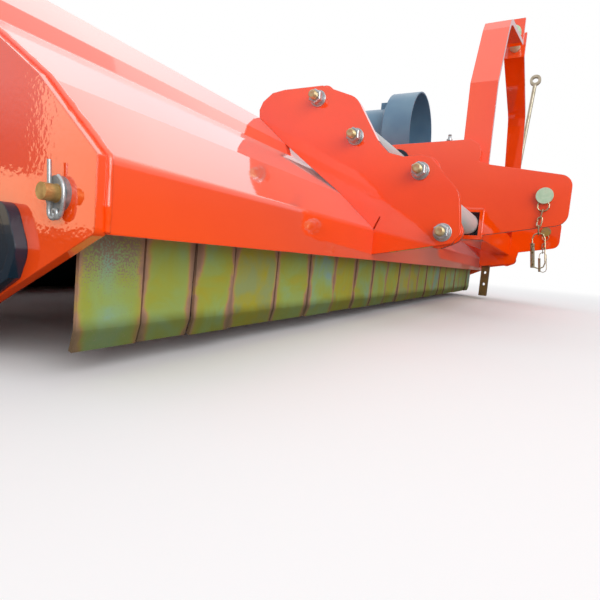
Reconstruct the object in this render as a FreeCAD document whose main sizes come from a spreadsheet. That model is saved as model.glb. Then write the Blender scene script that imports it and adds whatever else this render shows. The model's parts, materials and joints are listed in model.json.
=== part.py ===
import FreeCAD, Part
import math
import os
import types

import Sketcher

# Flail mulcher with hydraulic side shift for a tractor's three-point linkage.
# +X runs to the machine's left end, -Y towards the tractor, +Z up.  The origin lies on the
# ground under the middle of the whole machine.  "across" counts from the outer face of the
# right side plate, "behind" counts from the front face of the front beam.

SIZES = {
    # whole machine
    "machine_width": 1700,
    "beam_low": 98,
    "beam_height": 44,
    "sheet": 5,
    "side_plate": 8,
    # corners of the folded hood
    "fold_back": 57.6,
    "fold_up": 192,
    "dip_back": 144.5,
    "dip_up": 247.4,
    "strip_back": 159.7,
    "strip_up": 268.2,
    "crest_back": 212,
    "crest_up": 312,
    "roof_back": 248,
    "roof_up": 326,
    "roof_end": 430,
    "bend_radius": 8,
    # front flaps, their rod and its hangers
    "rod_back": 31.7,
    "rod_up": 119.7,
    "rod_radius": 5.1,
    "rod_overhang": 12,
    "washer_radius": 10.5,
    "flap_sheet": 3,
    "flap_foot": 19,
    "flap_row_start": 17,
    "flap_row_end": 1680,
    "narrow_flap": 55.3,
    "narrow_flaps": 3,
    "wide_flaps": 19,
    "hanger_sheet": 6,
    # rotor
    "rotor_back": 290,
    "rotor_up": 172,
    "drum_radius": 65,
    "rotor_tip": 138,
    "journal_radius": 22.5,
    "hammers": 24,
    "hammer_width": 56,
    # rear roller and door
    "roller_back": 600,
    "roller_radius": 70,
    "roller_gap": 34,
    "stub_radius": 15,
    "arm_sheet": 10,
    "hinge_back": 446,
    "hinge_up": 318,
    "hinge_radius": 6,
    "door_gap": 40,
    # rails and the brackets that carry them
    "rail_radius": 20,
    "upper_rail_back": 74,
    "upper_rail_up": 302,
    "lower_rail_back": -77,
    "lower_rail_up": 184,
    "bracket_across": 456,
    "far_bracket_across": 1628,
    "bracket_plate": 12,
    # hitch frame
    "hitch_across": 758,
    "hitch_spread": 825,
    "hitch_plate": 12,
    "clevis_gap": 65,
    "hitch_reach": 245,
    "pin_back": -204,
    "pin_up": 237,
    "pin_radius": 14,
    "pin_end": 10,
    "tube_half": 27.5,
    "tube_wall": 5.5,
    "bush_radius": 27,
    "bush_length": 62,
    "mast_back": -77,
    "mast_depth": 50,
    "mast_bar": 10,
    "mast_height": 460,
    "top_gap": 68,
    "top_pin_radius": 12.5,
    # side-shift cylinder
    "cylinder_back": -5,
    "cylinder_up": 225,
    "cylinder_radius": 25,
    "cylinder_length": 340,
    "piston_rod_radius": 12.5,
    # hose carrier and parking leg
    "carrier_radius": 6,
    "carrier_length": 490,
    "leg_across": 1511,
    "leg_width": 30,
    "leg_depth": 24,
    "leg_foot": 12,
    "leg_length": 220,
    # gearbox and drive
    "drive_across": 1016,
    "drive_up": 421,
    "gearbox_front": 262,
    "gearbox_depth": 160,
    "gearbox_half": 75,
    "saddle": 10,
    "shaft_start": 160,
    "shaft_length": 80,
    "shaft_radius": 17.45,
    "collar_radius": 22,
    "shield_radius": 108,
    "shield_front": 100,
    "shield_depth": 80,
    "neck_radius": 75,
    "drive_tube_radius": 40,
    "belt_guard": 78,
    "bearing_cap": 26,
    # running clearances
    "running": 0.08,
}


class Size:
    """A number together with the sheet formula that gives it."""

    def __init__(self, number, formula):
        self.number = float(number)
        self.formula = formula

    @staticmethod
    def of(value):
        return value if isinstance(value, Size) else Size(value, "%.10g" % value)

    def joined(self, sign, other, number):
        return Size(number, "(%s %s %s)" % (self.formula, sign, other.formula))

    def __add__(self, other):
        other = Size.of(other)
        return self.joined("+", other, self.number + other.number)

    def __radd__(self, other):
        return Size.of(other) + self

    def __sub__(self, other):
        other = Size.of(other)
        return self.joined("-", other, self.number - other.number)

    def __rsub__(self, other):
        return Size.of(other) - self

    def __mul__(self, other):
        other = Size.of(other)
        return self.joined("*", other, self.number * other.number)

    def __rmul__(self, other):
        return Size.of(other) * self

    def __truediv__(self, other):
        other = Size.of(other)
        return self.joined("/", other, self.number / other.number)

    def __neg__(self):
        return Size(-self.number, "(0 - %s)" % self.formula)


def fill_sheet(doc):
    """The sheet of driving sizes, one alias a row; gives the sizes by name."""
    sheet = doc.addObject("Spreadsheet::Sheet", "Sizes")
    for row, (alias, value) in enumerate(SIZES.items(), start=1):
        sheet.set("A%d" % row, alias)
        sheet.set("B%d" % row, "%g" % value)
        sheet.setAlias("B%d" % row, alias)
    doc.recompute()
    return types.SimpleNamespace(**{alias: Size(value, "Sizes." + alias) for alias, value in SIZES.items()})


doc = FreeCAD.newDocument("FlailMulcher")
s = fill_sheet(doc)
nodes = []

# The outer face of the right side plate and the front face of the beam, placed so that the
# origin comes under the middle of the machine's whole box.
RIGHT = -(s.machine_width + s.belt_guard - s.bearing_cap) / 2
FACE = (s.hitch_reach - s.roller_back - s.roller_radius) / 2
INNER_LEFT = s.machine_width - s.side_plate


def across(distance):
    return RIGHT + distance


def behind(distance):
    return FACE + distance


# ---------------------------------------------------------------- modelling helpers


def bind(thing, prop, size):
    thing.setExpression(prop, Size.of(size).formula)


def new_body(name):
    return doc.addObject("PartDesign::Body", name)


def new_sketch(body, role, offset=0):
    """A sketch on one of the body's origin planes, moved along the plane's normal."""
    sketch = body.newObject("Sketcher::SketchObject", body.Name + "_sketch")
    plane = [feature for feature in body.Origin.OriginFeatures if feature.Role == role][0]
    sketch.AttachmentSupport = [(plane, "")]
    sketch.MapMode = "FlatFace"
    offset = Size.of(offset)
    sketch.AttachmentOffset = FreeCAD.Placement(FreeCAD.Vector(0, 0, offset.number), FreeCAD.Rotation())
    bind(sketch, "AttachmentOffset.Base.z", offset)
    return sketch


def hold_point(sketch, element, point, place):
    """Ties one point of a sketch element to sheet-driven distances from the sketch's origin."""
    for kind, size in zip(("DistanceX", "DistanceY"), place):
        size = Size.of(size)
        index = sketch.addConstraint(Sketcher.Constraint(kind, -1, 1, element, point, size.number))
        bind(sketch, "Constraints[%d]" % index, size)


def draw_outline(sketch, corners):
    """A closed run of straight edges through sheet-driven corners."""
    corners = [(Size.of(u), Size.of(v)) for u, v in corners]
    spots = [FreeCAD.Vector(u.number, v.number, 0) for u, v in corners]
    first = sketch.GeometryCount
    for index, spot in enumerate(spots):
        sketch.addGeometry(Part.LineSegment(spot, spots[(index + 1) % len(spots)]), False)
    for index in range(len(spots)):
        following = first + (index + 1) % len(spots)
        sketch.addConstraint(Sketcher.Constraint("Coincident", first + index, 2, following, 1))
    for index, corner in enumerate(corners):
        hold_point(sketch, first + index, 1, corner)


def draw_circle(sketch, centre, radius):
    radius = Size.of(radius)
    spot = FreeCAD.Vector(Size.of(centre[0]).number, Size.of(centre[1]).number, 0)
    circle = sketch.addGeometry(Part.Circle(spot, FreeCAD.Vector(0, 0, 1), radius.number), False)
    hold_point(sketch, circle, 3, centre)
    index = sketch.addConstraint(Sketcher.Constraint("Radius", circle, radius.number))
    bind(sketch, "Constraints[%d]" % index, radius)


def add_pad(body, sketch, length):
    pad = body.newObject("PartDesign::Pad", body.Name + "_pad")
    pad.Profile = sketch
    bind(pad, "Length", length)
    sketch.Visibility = False
    doc.recompute()
    return pad


def add_pocket(body, sketch, length):
    """Cuts a sketch away over a length on both sides of its plane."""
    before = body.Shape.Volume
    pocket = body.newObject("PartDesign::Pocket", body.Name + "_pocket")
    pocket.Profile = sketch
    pocket.Midplane = True
    bind(pocket, "Length", length)
    doc.recompute()
    if not body.Shape.Volume < before:
        raise RuntimeError("the pocket in %s cuts nothing" % body.Name)
    return pocket


def round_corners(body, corners):
    """Rounds the edges along X that stand at the given (y, z) corners, grouped by radius."""
    corners = [(Size.of(y), Size.of(z), Size.of(radius)) for y, z, radius in corners]
    for formula in dict.fromkeys(radius.formula for y, z, radius in corners):
        base = body.Tip
        names = []
        for y, z, radius in corners:
            if radius.formula != formula:
                continue
            found = list(edges_along_x(base.Shape, y.number, z.number))
            if not found:
                raise RuntimeError("%s has no edge at %.1f, %.1f" % (body.Name, y.number, z.number))
            names += found
        fillet = body.newObject("PartDesign::Fillet", body.Name + "_round")
        fillet.Base = (base, names)
        fillet.setExpression("Radius", formula)
        doc.recompute()


def edges_along_x(shape, y, z):
    """Names of the shape's straight edges along X that pass through one (y, z) corner."""
    for index, edge in enumerate(shape.Edges, start=1):
        ends = [vertex.Point for vertex in edge.Vertexes]
        along = len(ends) == 2 and abs(ends[0].x - ends[1].x) > 1
        if along and all(math.hypot(end.y - y, end.z - z) < 0.1 for end in ends):
            yield "Edge%d" % index


def panel(name, corners, start, thickness, holes=(), rounds=(), windows=()):
    """A plate standing across the machine: an outline in (behind, up), padded along X."""
    body = new_body(name)
    sketch = new_sketch(body, "YZ_Plane", across(start))
    for outline in (corners, *windows):
        draw_outline(sketch, [(behind(y), z) for y, z in outline])
    for y, z, radius in holes:
        draw_circle(sketch, (behind(y), z), radius)
    add_pad(body, sketch, thickness)
    round_corners(body, [(behind(y), z, radius) for y, z, radius in rounds])
    return body


def plate(name, *form, **more):
    """A panel that is a piece of its own."""
    return node(panel(name, *form, **more), name)


def primitive(kind, name, sizes, base, turn=None):
    """A Part primitive with its sizes and its corner or centre bound to the sheet."""
    thing = doc.addObject(kind, name)
    if turn:
        thing.Placement = FreeCAD.Placement(FreeCAD.Vector(), turn)
    for prop, size in sizes.items():
        bind(thing, prop, size)
    for axis, size in zip("xyz", base):
        bind(thing, "Placement.Base." + axis, size)
    return thing


TURNS = {
    "X": FreeCAD.Rotation(FreeCAD.Vector(0, 1, 0), 90),
    "Y": FreeCAD.Rotation(FreeCAD.Vector(1, 0, 0), -90),
    "Z": FreeCAD.Rotation(),
}


def bar(name, low, high):
    """A square-edged bar between two corners, given as (across, behind, up)."""
    low = (across(low[0]), behind(low[1]), Size.of(low[2]))
    high = (across(high[0]), behind(high[1]), Size.of(high[2]))
    sizes = dict(zip(("Length", "Width", "Height"), (b - a for a, b in zip(low, high))))
    return primitive("Part::Box", name, sizes, low)


def rod(name, axis, start, radius, length):
    """A round bar or, as a cutting tool, a bore: start is (across, behind, up)."""
    base = (across(start[0]), behind(start[1]), Size.of(start[2]))
    return primitive("Part::Cylinder", name, {"Radius": radius, "Height": length}, base, TURNS[axis])


def joined(name, things):
    fuse = doc.addObject("Part::MultiFuse", name)
    fuse.Shapes = things
    fuse.Refine = True
    return fuse


def drilled(name, solid, tools):
    """A solid with one or more tools cut out of it."""
    cut = doc.addObject("Part::Cut", name)
    cut.Base = solid
    cut.Tool = tools[0] if len(tools) == 1 else joined(name + "_tools", tools)
    return cut


def node(thing, name):
    thing.Label = name
    nodes.append(thing)
    return thing


def ring_points(radius, sides=12):
    """Corners of a regular polygon drawn round a circle about the X axis."""
    steps = [2 * math.pi * (index + 0.5) / sides for index in range(sides)]
    reach = radius / math.cos(math.pi / sides)
    return [FreeCAD.Vector(0, reach * math.cos(step), reach * math.sin(step)) for step in steps]


def closed_face(points):
    return Part.Face(Part.makePolygon(points + points[:1]))


def wire_ring(path, radius, sides=6):
    """A closed ring of round wire in one plane, made of short runs mitred where they meet."""
    count = len(path)
    normal = (path[1] - path[0]).cross(path[2] - path[1]).normalize()
    sections = []
    for index, spot in enumerate(path):
        before = (spot - path[index - 1]).normalize()
        after = (path[(index + 1) % count] - spot).normalize()
        outward = (before - after).normalize()
        stretch = 1 / math.cos(before.getAngle(after) / 2)
        section = []
        for step in range(sides):
            angle = 2 * math.pi * (step + 0.5) / sides
            reach = outward * (radius * math.cos(angle) * stretch)
            section.append(spot + reach + normal * (radius * math.sin(angle)))
        sections.append(section)
    faces = []
    for index, section in enumerate(sections):
        following = sections[(index + 1) % count]
        for step in range(sides):
            other = (step + 1) % sides
            faces.append(closed_face([section[step], section[other], following[other], following[step]]))
    return Part.Solid(Part.Shell(faces))


# ---------------------------------------------------------------- mowing housing


def make_hood():
    """One folded sheet: beam face, sloping facets with a dip between them and the roof."""
    body = node(new_body("hood"), "hood")
    top = s.beam_low + s.beam_height
    sketch = new_sketch(body, "YZ_Plane", across(s.side_plate))
    folds = [(0, top), (s.fold_back, s.fold_up), (s.dip_back, s.dip_up), (s.strip_back, s.strip_up),
             (s.crest_back, s.crest_up), (s.roof_back, s.roof_up)]
    outline = [(0, s.beam_low)] + folds + [(s.roof_end, s.roof_up), (s.roof_end, s.beam_low)]
    draw_outline(sketch, [(behind(y), z) for y, z in outline])
    add_pad(body, sketch, s.machine_width - 2 * s.side_plate)
    round_corners(body, [(behind(y), z, s.bend_radius) for y, z in folds])
    solid = body.Tip
    shell = body.newObject("PartDesign::Thickness", "hood_shell")
    opened = []
    for index, face in enumerate(solid.Shape.Faces, start=1):
        normal = face.normalAt(0, 0)
        middle = face.CenterOfMass
        under = normal.z < -0.99
        end = abs(normal.x) > 0.99
        rear = normal.y > 0.99 and middle.y > behind(s.roof_end).number - 1
        if under or end or rear:
            opened.append("Face%d" % index)
    shell.Base = (solid, opened)
    bind(shell, "Value", s.sheet)
    shell.Join = 1
    shell.Reversed = True
    doc.recompute()
    return body


SIDE_REAR = [(480, 296, 20), (496, 120, 24), (452, 8, 30), (182, 8, 24)]
SIDE_OUTLINE = [(0, s.beam_low), (0, s.beam_low + s.beam_height), (s.fold_back, s.fold_up),
                (s.dip_back, s.dip_up), (s.strip_back, s.strip_up), (s.crest_back, s.crest_up),
                (s.roof_back, s.roof_up), (s.roof_end, s.roof_up)] + [corner[:2] for corner in SIDE_REAR]


def make_side_plates():
    """The two end plates, with the rotor's opening and the flap rod's hole."""
    holes = [(s.rotor_back, s.rotor_up, s.journal_radius + 14), (s.rod_back, s.rod_up, s.rod_radius)]
    rounds = SIDE_REAR + [(0, s.beam_low, 5)]
    plate("side_plate_right", SIDE_OUTLINE, 0, s.side_plate, holes, rounds)
    plate("side_plate_left", SIDE_OUTLINE, INNER_LEFT, s.side_plate, holes, rounds)


def make_skids():
    """Runner shoes on the outside of the side plates: a web with a raised rim."""
    rim = 8
    outline = [(61, 84), (75, 114), (180, 114), (230, 100), (440, 60), (470, 0), (190, 0), (70, 66)]
    inner = [(70, 84), (80, 105), (178, 105), (227, 92), (433, 52), (455, 9), (193, 9), (76, 71)]
    rounds = [(75, 114, 14), (61, 84, 16), (470, 0, 18), (190, 0, 60), (180, 114, 30), (230, 100, 30),
              (440, 60, 20)]
    for name, start, face in (("skid_right", -rim, -rim),
                              ("skid_left", s.machine_width, s.machine_width + rim)):
        body = plate(name, outline, start, rim, (), rounds)
        recess = new_sketch(body, "YZ_Plane", across(face))
        draw_outline(recess, [(behind(y), z) for y, z in inner])
        add_pocket(body, recess, rim)


def make_bearings():
    """Round flanged housings of the rotor bearings, outside the side plates."""
    flange_depth, cover, over = 10, 5, 1
    for name, flange_start, hub_start, bore_start in (
            ("rotor_bearing_right", -flange_depth, -s.bearing_cap, -s.bearing_cap + cover),
            ("rotor_bearing_left", s.machine_width, s.machine_width, s.machine_width - over)):
        flange = rod(name + "_flange", "X", (flange_start, s.rotor_back, s.rotor_up), 62, flange_depth)
        hub = rod(name + "_hub", "X", (hub_start, s.rotor_back, s.rotor_up), 44, s.bearing_cap)
        solid = joined(name + "_solid", [flange, hub])
        bore = rod(name + "_bore", "X", (bore_start, s.rotor_back, s.rotor_up),
                   s.journal_radius + s.running, s.bearing_cap - cover + over)
        node(drilled(name + "_cut", solid, [bore]), name)


def make_rod():
    """The long rod that carries the front flaps, with a washer outside each side plate."""
    shaft = rod("flap_shaft", "X", (-s.rod_overhang, s.rod_back, s.rod_up), s.rod_radius,
                s.machine_width + 2 * s.rod_overhang)
    washer = 3
    near = rod("near_washer", "X", (-washer, s.rod_back, s.rod_up), s.washer_radius, washer)
    far = rod("far_washer", "X", (s.machine_width, s.rod_back, s.rod_up), s.washer_radius, washer)
    node(joined("flap_rod_all", [shaft, near, far]), "flap_rod")


def make_hangers():
    """Small plates under the first facet that hold the rod between the flaps."""
    rise = s.fold_up - s.beam_low - s.beam_height
    slope = rise / s.fold_back
    inner = s.beam_low + s.beam_height - 1.38 * s.sheet
    front, rear = s.rod_back - 9, s.rod_back + 9
    outline = [(front, s.rod_up - 8), (front, inner + slope * front), (rear, inner + slope * rear),
               (rear, s.rod_up - 8)]
    body = node(new_body("rod_hangers"), "rod_hangers")
    for index, place in enumerate(HANGER_PLACES):
        sketch = new_sketch(body, "YZ_Plane", across(flap_edge(place) - s.hanger_sheet.number / 2))
        draw_outline(sketch, [(behind(y), z) for y, z in outline])
        draw_circle(sketch, (behind(s.rod_back), s.rod_up), s.rod_radius)
        add_pad(body, sketch, s.hanger_sheet)


def make_counter_bar():
    """Counter blade welded under the front facet, just ahead of the rotor."""
    plate("counter_bar", [(112, 196), (124, 196), (124, 227.8), (112, 220.2)], s.side_plate,
          s.machine_width - 2 * s.side_plate)


# ---------------------------------------------------------------- front flaps


HANGER_PLACES = (5, 11, 17)
SLIT = 2.4
KNUCKLE_GAP = 14


def flap_starts():
    """Where each flap begins across the machine, and how wide its place is."""
    narrow = int(s.narrow_flaps.number)
    wide = int(s.wide_flaps.number)
    start = s.flap_row_start.number
    wide_flap = (s.flap_row_end.number - start - narrow * s.narrow_flap.number) / wide
    for index in range(narrow + wide):
        place = s.narrow_flap.number if index < narrow else wide_flap
        yield index, start, place
        start += place


def flap_edge(number):
    """The distance across at which one numbered flap begins."""
    return [start for index, start, place in flap_starts() if index == number][0]


def flap_profiles():
    """Side views about the rod's centre: the rolled knuckle, and the leaf with its lip bent back."""
    bore = s.rod_radius.number + 0.4
    thick = s.flap_sheet.number
    outer = bore + thick
    cut = -16
    foot = s.flap_foot.number - s.rod_up.number
    lip = foot + 15
    lean, lip_back = 1.5, 4.2
    ring = closed_face(ring_points(outer)).cut(closed_face(ring_points(bore)))
    tongue = closed_face([FreeCAD.Vector(0, y, z) for y, z in (
        (bore, 0), (outer, 0), (outer, cut), (bore, cut))])
    rear = outer + lean
    leaf = closed_face([FreeCAD.Vector(0, y, z) for y, z in (
        (bore, cut), (outer, cut), (rear, lip + 0.8), (rear + lip_back, foot + 1),
        (rear + lip_back - thick, foot), (rear - thick, lip))])
    return ring.fuse(tongue).removeSplitter().Faces[0], leaf


def make_flaps():
    """A row of plates hung side by side on the rod, each at its own slight angle."""
    knuckle, leaf = flap_profiles()
    axis_point = FreeCAD.Vector(0, behind(s.rod_back).number, s.rod_up.number)
    flaps = []
    for index, start, place in flap_starts():
        flap = None
        for face, gap in ((leaf, SLIT), (knuckle, KNUCKLE_GAP)):
            solid = face.extrude(FreeCAD.Vector(place - gap, 0, 0))
            solid.translate(axis_point + FreeCAD.Vector(across(start).number + gap / 2, 0, 0))
            flap = flap.fuse(solid).removeSplitter() if flap else solid
        flap.rotate(axis_point, FreeCAD.Vector(1, 0, 0), 0.9 * math.sin(2.3 * index))
        flaps.append(flap)
    curtain = doc.addObject("Part::Feature", "front_flaps")
    curtain.Shape = Part.makeCompound(flaps)
    nodes.append(curtain)


# ---------------------------------------------------------------- rotor


HAMMER_FRONT = [(-9, 76), (-10, 104), (-25, 122), (-27, 133)]
HAMMER_BACK = [(16, 126), (13, 104), (9, 76)]
HAMMER_PIN = 92
EAR_SHEET = 6
EAR_GAP = 1


def hammer(width):
    """One swinging hammer, drawn as it stands when the rotor turns, cutting edge towards -Y."""
    crown = [(-15, s.rotor_tip.number - 2), (-4, s.rotor_tip.number)]
    points = [FreeCAD.Vector(0, y, z) for y, z in HAMMER_FRONT + crown + HAMMER_BACK]
    return closed_face(points).extrude(FreeCAD.Vector(width, 0, 0))


def ear():
    """An ear plate of the rotor: a wide foot on the drum and a rounded end about the pin."""
    crown = [(-16, 0), (-13, 9), (-6, 15), (6, 15), (13, 9), (16, 0)]
    points = [FreeCAD.Vector(0, y, HAMMER_PIN + z) for y, z in crown]
    points += [FreeCAD.Vector(0, 24, 58), FreeCAD.Vector(0, -24, 58)]
    return closed_face(points).extrude(FreeCAD.Vector(EAR_SHEET, 0, 0))


def bolt_head(depth):
    points = [point + FreeCAD.Vector(0, 0, HAMMER_PIN) for point in ring_points(10, 6)]
    return closed_face(points).extrude(FreeCAD.Vector(depth, 0, 0))


def make_rotor():
    """A drum with stub journals, and hammers in ear plates wound round it in a double helix."""
    axis = FreeCAD.Vector(1, 0, 0)
    centre = FreeCAD.Vector(0, behind(s.rotor_back).number, s.rotor_up.number)
    inside = s.machine_width.number - 2 * s.side_plate.number
    start = across(s.side_plate).number
    end_gap, end_margin, head = 12, 5, 6
    drum_length = inside - 2 * end_gap
    drum = Part.makeCylinder(s.drum_radius.number, drum_length,
                             centre + FreeCAD.Vector(start + end_gap, 0, 0), axis)
    stub = s.bearing_cap.number - 6
    journal = Part.makeCylinder(s.journal_radius.number, inside + 2 * (s.side_plate.number + stub),
                                centre + FreeCAD.Vector(start - s.side_plate.number - stub, 0, 0), axis)
    count = int(s.hammers.number)
    pitch = (drum_length - 2 * end_margin) / count
    width = s.hammer_width.number
    reach = EAR_SHEET + EAR_GAP
    fixed, hammers = [drum, journal], []
    for index in range(count):
        middle = start + end_gap + end_margin + pitch * (index + 0.5)
        turn = 180 * (index % 2) + 360 * index / count
        block = hammer(width)
        pieces = [(ear(), -reach), (ear(), width + EAR_GAP), (bolt_head(head), -reach - head),
                  (bolt_head(head), width + reach), (block, 0)]
        for piece, shift in pieces:
            piece.translate(FreeCAD.Vector(middle - width / 2 + shift, centre.y, centre.z))
            piece.rotate(centre, axis, turn)
        hammers.append(block)
        fixed += [piece for piece, shift in pieces[:-1]]
    feature = doc.addObject("Part::Feature", "rotor_drum")
    feature.Shape = fixed[0].fuse(fixed[1:]).removeSplitter()
    nodes.append(feature)
    feature = doc.addObject("Part::Feature", "rotor_hammers")
    feature.Shape = Part.makeCompound(hammers)
    nodes.append(feature)


# ---------------------------------------------------------------- roller and rear door


def make_roller():
    """Rear support roller with its two stub axles, and the arms that hold it."""
    tube = rod("roller_tube", "X", (s.roller_gap, s.roller_back, s.roller_radius), s.roller_radius,
               s.machine_width - 2 * s.roller_gap)
    play = 1
    axle = rod("roller_axle", "X", (s.side_plate + play, s.roller_back, s.roller_radius), s.stub_radius,
               s.machine_width - 2 * (s.side_plate + play))
    disc, inset = 8, 6
    discs = [rod("roller_disc_" + side, "X", (start, s.roller_back, s.roller_radius),
                 s.roller_radius - inset, disc)
             for side, start in (("right", s.roller_gap - disc), ("left", s.machine_width - s.roller_gap))]
    node(joined("roller_all", [tube, axle] + discs), "roller")
    arm = [(400, 40), (400, 130), (470, 150), (630, 105), (632, 42), (575, 36), (460, 64), (430, 40)]
    rounds = [(470, 150, 25), (630, 105, 30), (632, 42, 28), (575, 36, 20)]
    hole = [(s.roller_back, s.roller_radius, s.stub_radius + s.running)]
    plate("roller_arm_right", arm, s.side_plate, s.arm_sheet, hole, rounds)
    plate("roller_arm_left", arm, INNER_LEFT - s.arm_sheet, s.arm_sheet, hole, rounds)


def make_door():
    """Rear door: a folded sheet that hangs from a pipe hinge along the roof's rear edge."""
    outline = [(446, 311), (520, 240), (530, 150), (548, 138), (545, 134), (525, 147), (515, 238), (440, 310)]
    length = s.machine_width - 2 * s.door_gap
    leaf = panel("door_leaf", outline, s.door_gap, length)
    barrel = rod("door_barrel", "X", (s.door_gap, s.hinge_back, s.hinge_up), s.hinge_radius + 3, length)
    bore = rod("door_bore", "X", (0, s.hinge_back, s.hinge_up), s.hinge_radius + s.running, s.machine_width)
    node(drilled("door_cut", joined("door_solid", [leaf, barrel]), [bore]), "rear_door")
    node(rod("door_pin_rod", "X", (s.side_plate, s.hinge_back, s.hinge_up), s.hinge_radius,
             s.machine_width - 2 * s.side_plate), "door_hinge_rod")


# ---------------------------------------------------------------- rails and brackets


BRACKET = [(213, 324), (207, 336), (190, 348), (168, 351), (102, 351), (45, 329), (6, 265),
           (-11, 249), (-33, 243), (-56, 245), (-71, 241), (-112, 195), (-119, 140), (-109, 128),
           (0, 106), (0, 140.5), (-8, 159.5), (-6.2, 160.4), (1.6, 143.4), (s.fold_back, s.fold_up),
          (s.strip_back, s.strip_up), (s.crest_back, s.crest_up)]


RAIL_BOLTS = {"upper_rail": ((107, 332), (41, 273)), "lower_rail": ((-58, 223), (-96, 142))}


def flange_outline(first, second):
    """A flange's corners round two bolts, 18 past each of them and 24 to both sides."""
    past, side = 18, 24
    length = math.hypot(second[0] - first[0], second[1] - first[1])
    along = [(second[index] - first[index]) / length for index in (0, 1)]
    off = (-along[1], along[0])
    corners = []
    for bolt, end, order in ((first, -past, (side, -side)), (second, past, (-side, side))):
        for away in order:
            corners.append(tuple(bolt[index] + end * along[index] + away * off[index] for index in (0, 1)))
    return corners


def make_rails():
    """Two round guide rails across the machine, flanged and bolted to two bracket plates."""
    rounds = [(45, 329, 30), (6, 265, 60), (-112, 195, 30)]
    plate("rail_bracket_right", BRACKET, s.bracket_across, s.bracket_plate, (), rounds)
    plate("rail_bracket_left", BRACKET, s.far_bracket_across, s.bracket_plate, (), rounds)
    flange = 10
    start = s.bracket_across + s.bracket_plate
    end = s.far_bracket_across - flange
    flanges = []
    for name, back, up in (("upper_rail", s.upper_rail_back, s.upper_rail_up),
                           ("lower_rail", s.lower_rail_back, s.lower_rail_up)):
        node(rod(name + "_bar", "X", (start + flange, back, up), s.rail_radius, end - start - flange), name)
        outline = flange_outline(*RAIL_BOLTS[name])
        rounds = [(y, z, 16) for y, z in outline]
        for side, place in (("right", start), ("left", end)):
            flanges.append(panel(name + "_flange_" + side, outline, place, flange, (), rounds))
    together = doc.addObject("Part::Compound", "flanges_all")
    together.Links = flanges
    node(together, "rail_flanges")


# ---------------------------------------------------------------- drive


def make_drive():
    """Bevel gearbox on the roof, its input shaft and shield, and the drive to the left end."""
    back = s.gearbox_front
    middle = back + s.gearbox_depth / 2
    base = s.roof_up + s.saddle
    half = s.gearbox_half
    rear = back + s.gearbox_depth
    front_up, rear_up, foot, slope = 52, 40, 22, 24
    corner = rear - 30
    case = [(back + 10, base), (back, base + foot), (back, s.drive_up + front_up),
            (back + slope, s.drive_up + half), (corner, s.drive_up + half), (rear, s.drive_up + rear_up),
            (rear, base + foot), (rear - 10, base)]
    rounds = [(back, s.drive_up + front_up, 14), (back + slope, s.drive_up + half, 20),
              (corner, s.drive_up + half, 20), (rear, s.drive_up + rear_up, 14)]
    cover, rib = 14, 8
    pieces = [panel("gearbox_case", case, s.drive_across - half, 2 * half, (), rounds),
              rod("input_flange", "Y", (s.drive_across, back - 8, s.drive_up), 62, 20),
              rod("rear_cover", "Y", (s.drive_across, rear, s.drive_up), 52, cover),
              rod("side_cover", "X", (s.drive_across - half - cover, middle, s.drive_up), 55, cover),
              rod("filler_boss", "Z", (s.drive_across + 30, middle + 20, s.drive_up + half), 15, 10)]
    for index, place in enumerate((-62, 0, 62)):
        pieces.append(bar("rear_rib_%d" % index, (s.drive_across + place - rib / 2, corner, base + 6),
                          (s.drive_across + place + rib / 2, rear + 10, s.drive_up + 30)))
    collar_start = s.shaft_start + s.shaft_length
    collar_end = back + 53
    bore = rod("input_bore", "Y", (s.drive_across, back - 9, s.drive_up), s.collar_radius + s.running, 70)
    node(drilled("gearbox_cut", joined("gearbox_solid", pieces), [bore]), "gearbox")
    node(bar("gearbox_base", (s.drive_across - half - 20, back - 4, s.roof_up),
             (s.drive_across + half + 20, back + s.gearbox_depth + 4, base)), "gearbox_saddle")
    stub = rod("input_stub", "Y", (s.drive_across, s.shaft_start, s.drive_up), s.shaft_radius, s.shaft_length)
    collar = rod("input_collar", "Y", (s.drive_across, collar_start, s.drive_up), s.collar_radius,
                 collar_end - collar_start)
    node(joined("input_all", [stub, collar]), "input_shaft")
    tube_start = s.drive_across + half
    ring = 12
    tube = [rod("cross_tube", "X", (tube_start, middle, s.drive_up), s.drive_tube_radius,
                s.machine_width - tube_start)]
    for side, place in (("right", tube_start), ("left", s.machine_width - ring)):
        tube.append(rod("tube_ring_" + side, "X", (place, middle, s.drive_up), s.drive_tube_radius + 18, ring))
    node(joined("cross_tube_all", tube), "drive_tube")
    shield = doc.addObject("Part::Feature", "pto_shield")
    shield.Shape = shield_shape()
    nodes.append(shield)
    flange = [(300, 500), (410, 500), (440, 470), (440, 340), (380, 134), (350, 104), (250, 104),
             (215, 140), (215, 230), (270, 470)]
    rounds = [(410, 500, 30), (440, 470, 30), (380, 134, 40), (350, 104, 40), (250, 104, 40),
              (215, 140, 40), (270, 470, 30)]
    rim = 14
    cover = [(306, 486), (404, 486), (426, 464), (426, 343), (368, 140), (344, 118), (256, 118), (229, 145),
             (229, 228), (279, 462)]
    cover_rounds = [(404, 486, 24), (426, 464, 24), (368, 140, 32), (344, 118, 32), (256, 118, 32),
                    (229, 145, 32), (279, 462, 24)]
    pieces = [panel("guard_flange", flange, s.machine_width, rim, (), rounds),
              panel("guard_cover", cover, s.machine_width + rim / 2, s.belt_guard - rim / 2, (), cover_rounds)]
    room, over = 2, 1
    rooms = [rod("guard_%s_room" % part, "X", (s.machine_width - over, s.rotor_back, s.rotor_up), radius + room,
                 depth + room + over) for part, radius, depth in (("flange", 62, 10), ("hub", 44, s.bearing_cap))]
    node(drilled("guard_cut", joined("guard_solid", pieces), rooms), "belt_guard")


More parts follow.
